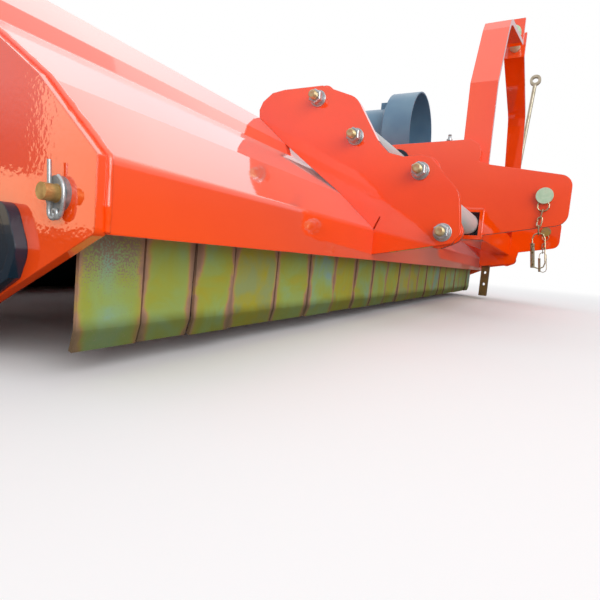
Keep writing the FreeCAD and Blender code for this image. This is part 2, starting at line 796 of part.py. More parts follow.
def shield_shape():
    """A stepped cup: a wide mouth, a rounded shoulder and a narrower neck on the gearbox."""
    wall = 3.5
    front = s.shield_front.number
    shoulder = front + s.shield_depth.number
    wide = s.shield_radius.number
    neck = s.neck_radius.number
    end = s.gearbox_front.number
    outer = [(front, wide), (shoulder - 12, wide), (shoulder, neck + 12), (shoulder + 4, neck), (end, neck)]
    inner = [(end, neck - wall), (shoulder, neck - wall), (shoulder - 4, neck + 10),
             (shoulder - 14, wide - wall), (front, wide - wall)]
    ring = [FreeCAD.Vector(0, back, radius) for back, radius in outer + inner]
    face = Part.Face(Part.makePolygon(ring + ring[:1]))
    solid = face.revolve(FreeCAD.Vector(), FreeCAD.Vector(0, 1, 0), 360)
    lug = Part.makeBox(26, 26, 22, FreeCAD.Vector(-13, shoulder + 4, neck - 6))
    solid = solid.fuse(lug)
    solid.translate(FreeCAD.Vector(across(s.drive_across).number, FACE.number, s.drive_up.number))
    return solid


# ---------------------------------------------------------------- hitch frame


PLATE_TOP = [(-108, 294.5), (-87, 301), (-88, 322), (-82, 334), (-68, 343)]
PLATE_REAR = [(110, 338), (110, 266), (74, 258)]
PLATE_ROUNDS = [(110, 338, 30), (110, 266, 30), (-82, 334, 12), (-68, 343, 12)]
LOWER_TAB = [(-14, 200), (-14, 112), (-100, 126), (-123, 130), (-131, 167)]
TAB_ROUNDS = [(-123, 130, 15), (-14, 112, 10)]


def clevis_nose(lower):
    """Front corners of a clevis plate and their rounding; the smaller plates end higher."""
    nose = [(-s.hitch_reach, lower), (-s.hitch_reach, 272)]
    return nose, [(y, z, 22) for y, z in nose]


def make_hitch():
    """Outer plates and inner ears for the lower links, the square cross tube and the bushes."""
    near = s.hitch_across
    far = near + s.hitch_spread
    ear_offset = s.hitch_plate + s.clevis_gap
    back, up, half = s.lower_rail_back, s.lower_rail_up, s.tube_half
    front, rear, under = back - half, back + half, up - half
    pin_hole = (s.pin_back, s.pin_up, s.pin_radius)
    rod_hole = (s.cylinder_back, s.cylinder_up, 20)
    rail_hole = (s.upper_rail_back, s.upper_rail_up, s.bush_radius)
    large, large_rounds = clevis_nose(189)
    small, small_rounds = clevis_nose(200)
    notch = [(-30, under + 1), (rear, under + 1), (rear, up + half), (front, up + half), (front, 163)]
    around = [(front, 292), (front, under), (rear, under), (rear, 200)]
    plate("hitch_plate_right", PLATE_REAR + notch + large + PLATE_TOP, near, s.hitch_plate,
          (pin_hole, rail_hole, rod_hole), PLATE_ROUNDS + large_rounds)
    plate("hitch_ear_right", [(front, 178)] + small + [(front, 292)], near + ear_offset, s.hitch_plate,
          (pin_hole,), small_rounds)
    plate("hitch_ear_left", around + LOWER_TAB + large, far - ear_offset - s.hitch_plate, s.hitch_plate,
          (pin_hole,), TAB_ROUNDS + large_rounds)
    higher = notch[:-1] + [(front, 178)]
    plate("hitch_plate_left", PLATE_REAR + higher + small + PLATE_TOP, far - s.hitch_plate, s.hitch_plate,
          (pin_hole, rail_hole), PLATE_ROUNDS + small_rounds)
    proud = 2
    bore = half - s.tube_wall
    tube = bar("cross_outer", (near - proud, front, under), (far + proud, rear, up + half))
    hollow = bar("cross_inner", (near - 2 * proud, back - bore, up - bore),
                 (far + 2 * proud, back + bore, up + bore))
    node(drilled("cross_cut", tube, [hollow]), "hitch_cross_tube")
    block_length, inset, over = 60, 10, 1
    for name, start in (("right", near + inset), ("left", far - inset - block_length)):
        block = bar("lower_block_" + name, (start, back - bore, up - bore),
                    (start + block_length, back + bore, up + bore))
        hole = rod("lower_block_bore_" + name, "X", (start - over, back, up), s.rail_radius + s.running,
                   block_length + 2 * over)
        node(drilled("lower_block_cut_" + name, block, [hole]), "slide_block_" + name)
    for name, start in (("right", near - proud), ("left", far + proud - s.bush_length)):
        sleeve = rod("sleeve_" + name, "X", (start, s.upper_rail_back, s.upper_rail_up), s.bush_radius,
                     s.bush_length)
        hole = rod("sleeve_bore_" + name, "X", (start - over, s.upper_rail_back, s.upper_rail_up),
                   s.rail_radius + s.running, s.bush_length + 2 * over)
        node(drilled("sleeve_cut_" + name, sleeve, [hole]), "rail_bush_" + name)


CHAIN_WIRE = 1.2
CHAIN_RING = 9
LINK_LENGTH, LINK_WIDTH, LINK_PITCH = 17.6, 7.2, 14.1
LINK_TURNS = (9, 5, -6)
LINCH_TURN = -7


def link_pin_ends():
    """Where the chained end of each lower link pin lies across the machine."""
    far_ear = s.hitch_across + s.hitch_spread - 2 * s.hitch_plate - s.clevis_gap
    return (("right", s.hitch_across - s.pin_end), ("left", far_ear - s.pin_end))


def make_lower_pins():
    """The two lower link pins, cross-drilled at both ends for a ring and a linch pin."""
    length = 2 * s.hitch_plate + s.clevis_gap + 2 * s.pin_end
    hole_radius = 4.2
    for name, start in link_pin_ends():
        holes = []
        for end, place in (("outer", start + s.pin_end / 2), ("inner", start + length - s.pin_end / 2)):
            corner = (place, s.pin_back - 2 * s.pin_radius, s.pin_up - CHAIN_RING)
            holes.append(rod("cross_hole_%s_%s" % (name, end), "Y", corner, hole_radius, 4 * s.pin_radius))
        shaft = rod("link_pin_" + name, "X", (start, s.pin_back, s.pin_up), s.pin_radius, length)
        node(drilled("link_pin_cut_" + name, shaft, holes), "lower_pin_" + name)


def stadium(length, width, points=5):
    """Centreline of a long ring as (along, aside), its ends rounded in a few short runs."""
    radius = width / 2
    reach = length / 2 - radius
    arc = [math.pi * (index / (points - 1) - 0.5) for index in range(points)]
    end = [(reach + radius * math.cos(angle), radius * math.sin(angle)) for angle in arc]
    return end + [(-along, -aside) for along, aside in end]


def downward(turn):
    """The way a hanging piece points when it swings by some degrees to the rear."""
    swing = math.radians(turn)
    return FreeCAD.Vector(0, math.sin(swing), -math.cos(swing))


def long_ring(centre, along, aside, length, width):
    return wire_ring([centre + along * u + aside * v for u, v in stadium(length, width)], CHAIN_WIRE)


def linch_pin(top):
    """A pin stem with its long spring ring, hanging by the ring."""
    length, width, stem, stem_radius = 64, 20, 44, 3.6
    along = downward(LINCH_TURN)
    aside = along.cross(FreeCAD.Vector(-1, 0, 0))
    centre = top + along * (length / 2)
    ring = long_ring(centre, along, aside, length, width)
    foot = centre + aside * (width / 2) + along * (length / 2 - 2)
    sides = ring_points(stem_radius, 8)
    pin = closed_face([foot + FreeCAD.Vector(corner.y, corner.z, 0) for corner in sides])
    return ring.fuse(pin.extrude(along * -stem))


def make_chains():
    """A short chain from each lower pin's end, with the linch pin that locks it hanging below."""
    half_gap = (LINK_LENGTH - LINK_PITCH) / 2
    axis = FreeCAD.Vector(1, 0, 0)
    pieces = []
    for name, start in link_pin_ends():
        hole = FreeCAD.Vector(across(start + s.pin_end / 2).number, behind(s.pin_back).number,
                              s.pin_up.number - CHAIN_RING)
        down = FreeCAD.Vector(0, 0, -1)
        pieces.append(wire_ring([hole + down * CHAIN_RING + corner for corner in ring_points(CHAIN_RING)],
                                CHAIN_WIRE))
        joint = hole + down * (2 * CHAIN_RING - half_gap)
        for index, turn in enumerate(LINK_TURNS):
            along = downward(turn)
            aside = along.cross(axis) if index % 2 else axis
            pieces.append(long_ring(joint + along * (LINK_PITCH / 2), along, aside, LINK_LENGTH, LINK_WIDTH))
            joint = joint + along * LINK_PITCH
        pieces.append(linch_pin(joint - down * half_gap))
    chains = doc.addObject("Part::Feature", "pin_chains")
    chains.Shape = Part.makeCompound(pieces)
    nodes.append(chains)


def make_mast():
    """Two flat bars that rise from the hitch plates and bend in to the top link's cheeks."""
    middle = s.hitch_across + s.hitch_spread / 2
    foot = s.hitch_spread / 2 - s.hitch_plate - s.mast_bar
    cheek = s.top_gap / 2
    top = s.pin_up + s.mast_height
    thick = s.mast_bar
    low, high = 240, top + 36
    inner = [(foot, low), (foot, 450), (foot - 68, 574), (foot - 84, 593), (foot - 110, 605),
             (cheek, top - 26), (cheek, high)]
    steps = [(thick, 0), (thick, 2), (9, 5), (7, 8), (4, 10), (thick, 6), (thick, 0)]
    outer = [(out + step_out, up + step_up) for (out, up), (step_out, step_up) in zip(inner, steps)]
    corners = inner + outer[::-1]
    for name, side in (("mast_bar_right", -1), ("mast_bar_left", 1)):
        body = node(new_body(name), name)
        sketch = new_sketch(body, "XZ_Plane", -behind(s.mast_back + s.mast_depth / 2))
        draw_outline(sketch, [(across(middle + out * side), up) for out, up in corners])
        add_pad(body, sketch, s.mast_depth)
        hole = new_sketch(body, "YZ_Plane", across(middle + cheek * side))
        draw_circle(hole, (behind(s.mast_back), top), s.top_pin_radius)
        add_pocket(body, hole, 4 * thick)
    overhang, head = 16, 8
    start = middle - cheek - thick
    pin = rod("top_pin_shaft", "X", (start - overhang, s.mast_back, top), s.top_pin_radius,
              2 * (cheek + thick + overhang))
    knob = rod("top_pin_head", "X", (start - head, s.mast_back, top), 19, head)
    node(joined("top_pin_all", [pin, knob]), "top_pin")


def make_shift_cylinder():
    """The side-shift cylinder: its barrel rides on the hitch, its rod is tied to the bracket."""
    back, up = s.cylinder_back, s.cylinder_up
    start = s.hitch_across + s.hitch_plate
    wall, reach = 12, 40
    barrel = rod("barrel_tube", "X", (start, back, up), s.cylinder_radius, s.cylinder_length)
    gland_ring = rod("gland_ring", "X", (start, back, up), s.cylinder_radius + 5, 2 * wall)
    end_cap = rod("end_cap", "X", (start + s.cylinder_length - wall, back, up), s.cylinder_radius + 4, wall)
    ports = [rod("port_" + side, "Z", (start + place, back, up + s.cylinder_radius - 4), 9, 14)
             for side, place in (("right", 42), ("left", s.cylinder_length - 34))]
    hollow = rod("barrel_bore", "X", (start + wall, back, up), s.cylinder_radius - 6,
                 s.cylinder_length - 2.5 * wall)
    gland = rod("gland_bore", "X", (start - 1, back, up), s.piston_rod_radius + s.running, wall + 2)
    body = joined("barrel_all", [barrel, gland_ring, end_cap] + ports)
    node(drilled("barrel_cut", body, [hollow, gland]), "shift_barrel")
    rod_start = s.bracket_across + s.bracket_plate
    shaft = rod("cylinder_rod_bar", "X", (rod_start, back, up), s.piston_rod_radius, start + reach - rod_start)
    collar = rod("cylinder_rod_collar", "X", (rod_start, back, up), s.piston_rod_radius + 7, 14)
    node(joined("cylinder_rod_all", [shaft, collar]), "shift_rod")


def make_hitch_fittings():
    """Hose carrier rod outside the left plate, and the parking leg in its socket."""
    far = s.hitch_across + s.hitch_spread
    lean = 3.58
    foot_back, foot_up = -80.7, 250
    turn = FreeCAD.Rotation(FreeCAD.Vector(1, 0, 0), lean)
    shaft = primitive("Part::Cylinder", "carrier_shaft", {"Radius": s.carrier_radius, "Height": s.carrier_length},
                      (across(far + s.carrier_radius), behind(foot_back), Size.of(foot_up)), turn)
    eye_radius = 17
    rise = s.carrier_length * math.cos(math.radians(lean))
    eye_back = foot_back - s.carrier_length * math.sin(math.radians(lean))
    eye_up = foot_up + rise + 10
    eye = rod("carrier_eye", "X", (far, eye_back, eye_up), eye_radius, 2 * s.carrier_radius)
    hole = rod("carrier_hole", "X", (far - 1, eye_back, eye_up), eye_radius - 8, 2 * s.carrier_radius + 2)
    node(drilled("carrier_cut", joined("carrier_solid", [shaft, eye]), [hole]), "hose_carrier")
    play, wall = 0.5, 4
    right, left = s.leg_across, s.leg_across + s.leg_width
    front = s.lower_rail_back + s.tube_half + wall
    rear = front + s.leg_depth
    low, high = 150, 214
    shell = bar("socket_outer", (right - wall - play, front - wall, low),
                (left + wall + play, rear + wall + play, high))
    hollow = bar("socket_inner", (right - play, front - play, low - 1), (left + play, rear + play, high + 1))
    node(drilled("socket_cut", shell, [hollow]), "leg_socket")
    leg = bar("leg_bar", (right, front, s.leg_foot), (left, rear, s.leg_foot + s.leg_length))
    holes = [rod("leg_hole_%d" % index, "X", (right - 1, (front + rear) / 2, s.leg_foot + 40 * (index + 1)), 5,
                 s.leg_width + 2) for index in range(4)]
    node(drilled("leg_cut", leg, holes), "parking_leg")


make_hood()
make_side_plates()
make_skids()
make_bearings()
make_rod()
make_hangers()
make_counter_bar()
make_flaps()
make_rotor()
make_roller()
make_door()
make_rails()
make_drive()
make_hitch()
make_lower_pins()
make_chains()
make_mast()
make_shift_cylinder()
make_hitch_fittings()
doc.recompute()

for thing in doc.Objects:
    if "Invalid" in thing.State or "Error" in thing.State:
        raise RuntimeError("%s did not build" % thing.Name)

os.makedirs("parts", exist_ok=True)
for thing in nodes:
    shape = thing.Shape
    if shape.isNull() or not shape.isValid():
        raise RuntimeError("%s has no sound shape" % thing.Label)
    shape.exportStep("parts/%s.step" % thing.Label)
print(len(nodes), "nodes written")
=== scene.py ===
"""Looks of a side-shift flail mulcher: its finishes, small parts, studio and camera.

Places are in metres in the CAD frame: +X to the machine's left end, -Y to the tractor, +Z up.
The small parts' own sizes are in millimetres.
"""

import json
import logging
import math
from dataclasses import dataclass
from enum import Enum
from typing import Any, Callable, Dict, Iterable, List, Optional, Sequence, Tuple

import bpy
from mathutils import Matrix, Vector


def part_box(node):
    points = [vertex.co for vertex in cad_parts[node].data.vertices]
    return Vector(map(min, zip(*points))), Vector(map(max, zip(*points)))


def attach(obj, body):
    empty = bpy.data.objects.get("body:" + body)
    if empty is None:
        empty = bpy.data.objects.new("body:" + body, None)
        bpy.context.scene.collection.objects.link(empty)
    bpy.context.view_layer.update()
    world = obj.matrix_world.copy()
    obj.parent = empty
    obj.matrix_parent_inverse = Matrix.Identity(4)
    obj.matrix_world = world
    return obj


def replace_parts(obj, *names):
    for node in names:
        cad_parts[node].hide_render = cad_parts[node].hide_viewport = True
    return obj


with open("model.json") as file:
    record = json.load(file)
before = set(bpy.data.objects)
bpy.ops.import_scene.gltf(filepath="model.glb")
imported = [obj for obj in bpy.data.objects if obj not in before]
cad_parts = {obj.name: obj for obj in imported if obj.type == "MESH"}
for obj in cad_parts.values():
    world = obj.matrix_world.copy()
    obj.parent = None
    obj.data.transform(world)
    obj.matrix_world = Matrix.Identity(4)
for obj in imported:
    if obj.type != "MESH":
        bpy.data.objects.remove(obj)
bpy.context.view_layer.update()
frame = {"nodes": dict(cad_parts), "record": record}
LOG = logging.getLogger("mulcher")

MM = 0.001
Point = Tuple[float, float, float]
Stop = Tuple[float, str]
Range = Tuple[Any, Any]
Tree = bpy.types.NodeTree
Node = bpy.types.Node
Socket = bpy.types.NodeSocket
Piece = bpy.types.Object

# The outer face of the right side plate and the front face of the beam.
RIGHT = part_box("side_plate_right")[0].x
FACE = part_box("hood")[0].y

# The housing's width, the middle of the gearbox across it, and the axis of the flap rod.
WIDTH = 1700.0
GEARBOX_ACROSS = 1016.0
ROD_BACK, ROD_UP = 31.7, 119.7


def at(across: float, behind: float, up: float) -> Vector:
    """A point from machine sizes.

    Args:
        across: millimetres from the outer face of the right side plate.
        behind: millimetres from the front face of the beam.
        up: millimetres above the ground.

    Returns:
        The point in metres, in the CAD frame.
    """
    return Vector((RIGHT + across * MM, FACE + behind * MM, up * MM))


# ---------------------------------------------------------------- shader nodes

# Inputs 6 and 7 of a Mix node are its two colours, and output 2 is its colour.
MIX_A, MIX_B, MIX_OUT = 6, 7, 2
BEVEL_SAMPLES = 3
WHITE_HEX, BLACK_HEX = "#FFFFFF", "#000000"


def linear(colour: str) -> Tuple[float, float, float, float]:
    """Turns an sRGB hex value into linear red, green, blue and alpha, by the sRGB curve.

    Args:
        colour: six hex digits with a leading #.

    Returns:
        The four channels that a shader socket takes.
    """
    parts = [int(colour[i:i + 2], 16) / 255 for i in (1, 3, 5)]
    red, green, blue = (c / 12.92 if c <= 0.04045 else ((c + 0.055) / 1.055) ** 2.4 for c in parts)
    return red, green, blue, 1.0


def per_metre(size_mm: float) -> float:
    """How often a pattern of this size repeats in a metre."""
    return 1 / (size_mm * MM)


def plug(tree: Tree, node: Node, sockets: Dict[Any, Any]) -> None:
    """Fills a node's inputs.

    Args:
        tree: the node tree that it is in.
        node: the node.
        sockets: input name or number, to a value or the output linked to it.
    """
    for key, value in sockets.items():
        if isinstance(value, Socket):
            tree.links.new(value, node.inputs[key])
        else:
            node.inputs[key].default_value = value


def add(tree: Tree, kind: str, sockets: Optional[Dict[Any, Any]] = None, **settings: Any) -> Node:
    """Adds a node with its settings and links.

    Args:
        tree: the node tree it goes into.
        kind: the node's type, without the ShaderNode prefix.
        sockets: input name or number, to a value or the output linked to it.
        **settings: the node's own properties.

    Returns:
        The new node.
    """
    node = tree.nodes.new("ShaderNode" + kind)
    for name, value in settings.items():
        setattr(node, name, value)
    plug(tree, node, sockets or {})
    return node


def maths(tree: Tree, operation: str, *values: Any) -> Socket:
    """A Math node's result.

    Args:
        tree: the node tree it goes into.
        operation: the node's operation.
        *values: numbers or outputs, in the order of its inputs.

    Returns:
        The node's output.
    """
    return add(tree, "Math", dict(enumerate(values)), operation=operation).outputs[0]


def noise(tree: Tree, place: Socket, scale: float, detail: float = 2.0,
          twist: float = 0.0) -> Socket:
    """A noise texture's value.

    Args:
        tree: the node tree it goes into.
        place: the coordinates that it reads.
        scale: how often it repeats in a metre.
        detail: how many finer layers it has.
        twist: how far it is distorted.

    Returns:
        The node's output, from 0 to 1.
    """
    return add(tree, "TexNoise", {"Vector": place, "Scale": scale, "Detail": detail,
                                  "Distortion": twist}).outputs[0]


def ramp(tree: Tree, value: Socket, stops: Sequence[Stop]) -> Socket:
    """A colour ramp's colour.

    Args:
        tree: the node tree it goes into.
        value: the output that it reads.
        stops: places and sRGB colours, two or more.

    Returns:
        The node's output.
    """
    node = add(tree, "ValToRGB", {0: value})
    elements = node.color_ramp.elements
    while len(elements) < len(stops):
        elements.new(0.5)
    for element, (place, colour) in zip(elements, stops):
        element.position = place
        element.color = linear(colour)
    return node.outputs[0]


def blend(tree: Tree, share: Any, first: Any, second: Any) -> Socket:
    """A mix of two colours.

    Args:
        tree: the node tree it goes into.
        share: how much of the second colour there is, a number or an output.
        first: an sRGB colour or an output.
        second: an sRGB colour or an output.

    Returns:
        The node's colour.
    """
    first, second = (linear(c) if isinstance(c, str) else c for c in (first, second))
    node = add(tree, "Mix", {0: share, MIX_A: first, MIX_B: second}, data_type="RGBA")
    return node.outputs[MIX_OUT]


def remap(tree: Tree, value: Socket, source: Range = (0.0, 1.0), target: Range = (0.0, 1.0),
          smooth: bool = False) -> Socket:
    """A value moved from one range to another, and held within it.

    Args:
        tree: the node tree it goes into.
        value: the output that it reads.
        source: where the value's range starts and ends.
        target: what those become, numbers or outputs.
        smooth: whether it eases in and out.

    Returns:
        The node's output.
    """
    return add(tree, "MapRange", dict(enumerate((value, *source, *target))),
               interpolation_type="SMOOTHSTEP" if smooth else "LINEAR").outputs[0]


def bevel(tree: Tree, radius_mm: float) -> Socket:
    """A normal that rounds the edges by this radius."""
    return add(tree, "Bevel", {"Radius": radius_mm * MM}, samples=BEVEL_SAMPLES).outputs[0]


def bump(tree: Tree, height: Socket, deep_mm: float, normal: Optional[Socket] = None,
         strength: float = 1.0) -> Socket:
    """A normal that follows a height.

    Args:
        tree: the node tree it goes into.
        height: the height, from 0 to 1.
        deep_mm: what a height of 1 is, in millimetres.
        normal: the normal that it is laid over, if not the surface's own.
        strength: the share of the bump that is used.

    Returns:
        The node's output.
    """
    sockets = {"Height": height, "Distance": deep_mm * MM, "Strength": strength}
    if normal is not None:
        sockets["Normal"] = normal
    return add(tree, "Bump", sockets).outputs[0]


# ---------------------------------------------------------------- finishes


@dataclass(frozen=True)
class Finish:
    """A surface finish: its name and the material that it gives.

    In each finish, a pattern is sized in millimetres where its field ends in _mm, and otherwise
    by how often it repeats in a metre.
    """

    name: str

    def material(self) -> bpy.types.Material:
        """The finish's material, made once."""
        found = bpy.data.materials.get(self.name)
        if found:
            return found
        material = bpy.data.materials.new(self.name)
        material.use_nodes = True
        tree = material.node_tree
        place = add(tree, "TexCoord").outputs["Object"]
        plug(tree, tree.nodes["Principled BSDF"], self.draw(tree, place))
        return material

    def draw(self, tree: Tree, place: Socket) -> Dict[str, Any]:
        """Adds the finish's nodes.

        Args:
            tree: the material's node tree.
            place: Object coordinates, in metres.

        Returns:
            The Principled node's inputs, to their values or outputs.
        """
        raise NotImplementedError


@dataclass(frozen=True)
class Enamel(Finish):
    """Wet-sprayed two-part enamel on folded sheet: a near mirror at grazing angles, with the
    fine waves of orange peel and the long waves of the sheet below it."""

    colour: str = "#FF5006"
    shade: str = "#F84402"
    roughness: float = 0.07
    specular: float = 0.25
    coat: float = 1.0
    coat_roughness: float = 0.03
    coat_ior: float = 2.0
    sheen: float = 0.0
    sheen_roughness: float = 0.3
    film_mm: float = 200.0
    peel_mm: float = 3.2
    peel_deep_mm: float = 0.012
    sheet_mm: float = 140.0
    sheet_deep_mm: float = 0.25
    edge_mm: float = 1.4

    def draw(self, tree: Tree, place: Socket) -> Dict[str, Any]:
        """Colour with slow changes of film thickness, and two scales of waves in the gloss."""
        film = noise(tree, place, per_metre(self.film_mm), detail=3.0)
        waves = noise(tree, place, per_metre(self.sheet_mm), detail=1.0)
        sheet = bump(tree, waves, self.sheet_deep_mm, bevel(tree, self.edge_mm))
        peel = noise(tree, place, per_metre(self.peel_mm), detail=1.5)
        skin = bump(tree, peel, self.peel_deep_mm, sheet)
        return {
            "Base Color": ramp(tree, film, ((0.3, self.shade), (0.65, self.colour))),
            "Roughness": self.roughness,
            "Specular IOR Level": self.specular,
            "Coat Weight": self.coat,
            "Coat Roughness": self.coat_roughness,
            "Coat IOR": self.coat_ior,
            "Sheen Weight": self.sheen,
            "Sheen Roughness": self.sheen_roughness,
            "Normal": skin,
            "Coat Normal": skin,
        }


@dataclass(frozen=True)
class Zinc(Finish):
    """Electroplated zinc under a chromate film: satin metal whose tint drifts with the film."""

    tints: Tuple[Stop, ...] = ((0.25, "#B9A95C"), (0.5, "#CDBB6A"), (0.75, "#B6A487"))
    roughness: float = 0.3
    metallic: float = 0.9
    patch_mm: float = 18.0
    patch_twist: float = 0.4
    grain: float = 900.0
    smoother: float = 0.08
    rougher: float = 0.12

    def draw(self, tree: Tree, place: Socket) -> Dict[str, Any]:
        """Tints in soft patches, with fine grain in the roughness."""
        film = noise(tree, place, per_metre(self.patch_mm), detail=3.0, twist=self.patch_twist)
        grain = noise(tree, place, self.grain)
        spread = (self.roughness - self.smoother, self.roughness + self.rougher)
        return {
            "Base Color": ramp(tree, film, self.tints),
            "Metallic": self.metallic,
            "Roughness": remap(tree, grain, target=spread),
        }


@dataclass(frozen=True)
class RodZinc(Finish):
    """A rod in gold chromate, and the grey washers that are fast on its ends."""

    gold: Tuple[Stop, ...] = ((0.35, "#A8844E"), (0.6, "#D2B070"))
    grey: Tuple[Stop, ...] = ((0.35, "#6C7072"), (0.6, "#A3A6A8"))
    film: float = 160.0
    radius: float = 5.6
    metallic: float = 0.5
    roughness: float = 0.42

    def draw(self, tree: Tree, place: Socket) -> Dict[str, Any]:
        """Gold within the rod's radius round its axis, and grey zinc beyond it."""
        axes = add(tree, "SeparateXYZ", {0: place}).outputs
        offsets = [maths(tree, "SUBTRACT", axes[axis], middle)
                   for axis, middle in ((1, FACE + ROD_BACK * MM), (2, ROD_UP * MM))]
        squares = [maths(tree, "MULTIPLY", offset, offset) for offset in offsets]
        washer = maths(tree, "GREATER_THAN", maths(tree, "ADD", *squares), (self.radius * MM) ** 2)
        film = noise(tree, place, self.film, detail=3.0)
        gold, grey = ramp(tree, film, self.gold), ramp(tree, film, self.grey)
        return {
            "Base Color": blend(tree, washer, gold, grey),
            "Metallic": self.metallic,
            "Roughness": self.roughness,
        }


@dataclass(frozen=True)
class FlapZinc(Finish):
    """Flaps cut from plate and chromated yellow one by one: olive in the middle of each leaf,
    pinkish brown where the film is thin along its cut edges. The lip is painted dark olive, a
    painted shade where it bends away from the light, and the top of each leaf is painted
    browner, a painted shade under the beam.

    The flaps stand side by side from start on, first the narrow ones and then the wide ones,
    which are numbered from wide_number. A flap's tint is drawn by its number plus lot. Heights
    are above the ground. A wander is how many millimetres the film's noise shifts an edge by.
    Grit is the rough upper part of the first flap.
    """

    start: float = 17.0
    narrow: float = 55.3
    narrow_count: int = 3
    wide: float = 78.8
    wide_number: float = 40.0

    middle: Tuple[Stop, ...] = ((0.3, "#8FB8B4"), (0.42, "#9CBE86"), (0.52, "#A4BE6C"),
                                (0.64, "#ABB850"), (0.78, "#B8B23A"), (0.92, "#A2B070"))
    border: Tuple[Stop, ...] = ((0.0, "#9C7E6A"), (0.4, "#BC9478"), (0.62, "#C4A45E"),
                                (0.8, "#BDB458"))
    lot: float = 7662.0
    lot_share: float = 0.42
    drift: float = 0.05
    film: float = 22.0
    film_detail: float = 4.0
    film_twist: float = 0.8

    side_wander: float = 30.0
    side_from: float = 14.0
    side_width: float = 13.0
    top_wander: float = 24.0
    top_shade_fade: Range = (100.0, 124.0)
    top_shade_share: float = 0.25
    core_from: float = 0.55

    lip_wander: float = -9.0
    lip_shade_fade: Range = (26.0, 39.0)
    lip_shade_colour: str = "#3C4022"
    lip_shade_share: float = 0.6

    grit: float = 900.0
    grit_colour: str = "#A08A78"
    grit_to: float = 71.0
    grit_fade: Range = (66.0, 104.0)
    grit_rise: Range = (-0.2, 0.1)
    grit_cut: Range = (0.44, 0.6)

    metallic: float = 0.3
    streaks: Point = (260.0, 260.0, 12.0)
    roughness: Range = (0.34, 0.52)
    dents: float = 30.0
    dent_deep_mm: float = 0.4

    def leaf(self, tree: Tree, sideways: Socket) -> Tuple[Socket, Socket]:
        """Finds which flap a point is on.

        Args:
            tree: the material's node tree.
            sideways: the point's X in the CAD frame, in metres.

        Returns:
            Outputs for the flap's number and for millimetres to its nearer side edge.
        """
        metres = maths(tree, "SUBTRACT", sideways, RIGHT)
        across = maths(tree, "MULTIPLY_ADD", metres, 1 / MM, -self.start)
        border = self.narrow * self.narrow_count
        is_wide = maths(tree, "GREATER_THAN", across, border)
        pitch = remap(tree, is_wide, target=(self.narrow, self.wide))
        origin = maths(tree, "MULTIPLY", is_wide, border)
        turns = maths(tree, "DIVIDE", maths(tree, "SUBTRACT", across, origin), pitch)
        number = maths(tree, "MULTIPLY_ADD", is_wide, self.wide_number, maths(tree, "FLOOR", turns))
        part = maths(tree, "FRACT", turns)
        near = maths(tree, "MINIMUM", part, maths(tree, "SUBTRACT", 1.0, part))
        return number, maths(tree, "MULTIPLY", near, pitch)

    def draw(self, tree: Tree, place: Socket) -> Dict[str, Any]:
        """Leaf middle, margins, painted lip and top shade and speckle, over fine drawn streaks."""
        axes = add(tree, "SeparateXYZ", {0: place}).outputs
        number, edge = self.leaf(tree, axes[0])
        up = maths(tree, "MULTIPLY", axes[2], 1 / MM)
        film = add(tree, "TexNoise", {
            "Vector": place, "W": number, "Scale": self.film, "Detail": self.film_detail,
            "Distortion": self.film_twist}, noise_dimensions="4D").outputs[0]

        def wander(value: Socket, by_mm: float) -> Socket:
            """A length in millimetres, shifted by the film's noise."""
            return maths(tree, "MULTIPLY_ADD", film, by_mm, value)

        lot = maths(tree, "ADD", number, self.lot)
        chance = add(tree, "TexWhiteNoise", {"W": lot}, noise_dimensions="1D").outputs[0]
        tint = maths(tree, "MULTIPLY_ADD", chance, self.lot_share,
                     maths(tree, "SUBTRACT", film, self.drift))
        beside = remap(tree, wander(edge, self.side_wander),
                       (self.side_from, self.side_from + self.side_width), smooth=True)
        height = wander(up, self.top_wander)
        # Towards the top, under the beam, the leaf fades to the margin's pinkish brown: painted
        # shade.
        top_shaded = remap(tree, height, self.top_shade_fade, (1.0, self.top_shade_share), smooth=True)
        inner = maths(tree, "MULTIPLY", beside, top_shaded)
        leaf = blend(tree, remap(tree, inner, (self.core_from, 1.0)),
                     ramp(tree, inner, self.border), ramp(tree, tint, self.middle))
        # Below the lip's fade the leaf is mixed towards a dark olive: painted shade where the lip
        # bends away from the light.
        above = remap(tree, wander(up, self.lip_wander), self.lip_shade_fade, smooth=True)
        lip_shaded = blend(tree, above, blend(tree, self.lip_shade_share, leaf, self.lip_shade_colour), leaf)

        rise = remap(tree, height, self.grit_fade, self.grit_rise)
        grit = maths(tree, "ADD", noise(tree, place, self.grit), rise)
        first = maths(tree, "LESS_THAN", axes[0], RIGHT + self.grit_to * MM)
        patch = maths(tree, "MULTIPLY", first, beside)
        speckle = remap(tree, grit, self.grit_cut, (0.0, patch))

        streaks = add(tree, "Mapping", {"Vector": place, "Scale": self.streaks}).outputs[0]
        return {
            "Base Color": blend(tree, speckle, lip_shaded, self.grit_colour),
            "Metallic": self.metallic,
            "Roughness": remap(tree, noise(tree, streaks, scale=1.0), target=self.roughness),
            "Normal": bump(tree, noise(tree, place, self.dents), self.dent_deep_mm),
        }


@dataclass(frozen=True)
class Steel(Finish):
    """Bare, ground or drawn steel: long fine streaks along one axis."""

    colour: str = "#B9BBBA"
    roughness: float = 0.24
    metallic: float = 1.0
    streak: Point = (4.0, 900.0, 900.0)
    shadow: str = "#6E7274"
    shadow_share: float = 0.18
    smoother: float = 0.06
    rougher: float = 0.1
    line_deep_mm: float = 0.02
    line_strength: float = 0.5

    def draw(self, tree: Tree, place: Socket) -> Dict[str, Any]:
        """Streaks in colour, roughness and a shallow bump."""
        along = add(tree, "Mapping", {"Vector": place, "Scale": self.streak}).outputs[0]
        lines = noise(tree, along, scale=1.0, detail=3.0)
        dull = blend(tree, 1 - self.shadow_share, self.shadow, self.colour)
        spread = (self.roughness - self.smoother, self.roughness + self.rougher)
        return {
            "Base Color": blend(tree, lines, dull, self.colour),
            "Metallic": self.metallic,
            "Roughness": remap(tree, lines, target=spread),
            "Normal": bump(tree, lines, self.line_deep_mm, strength=self.line_strength),
        }


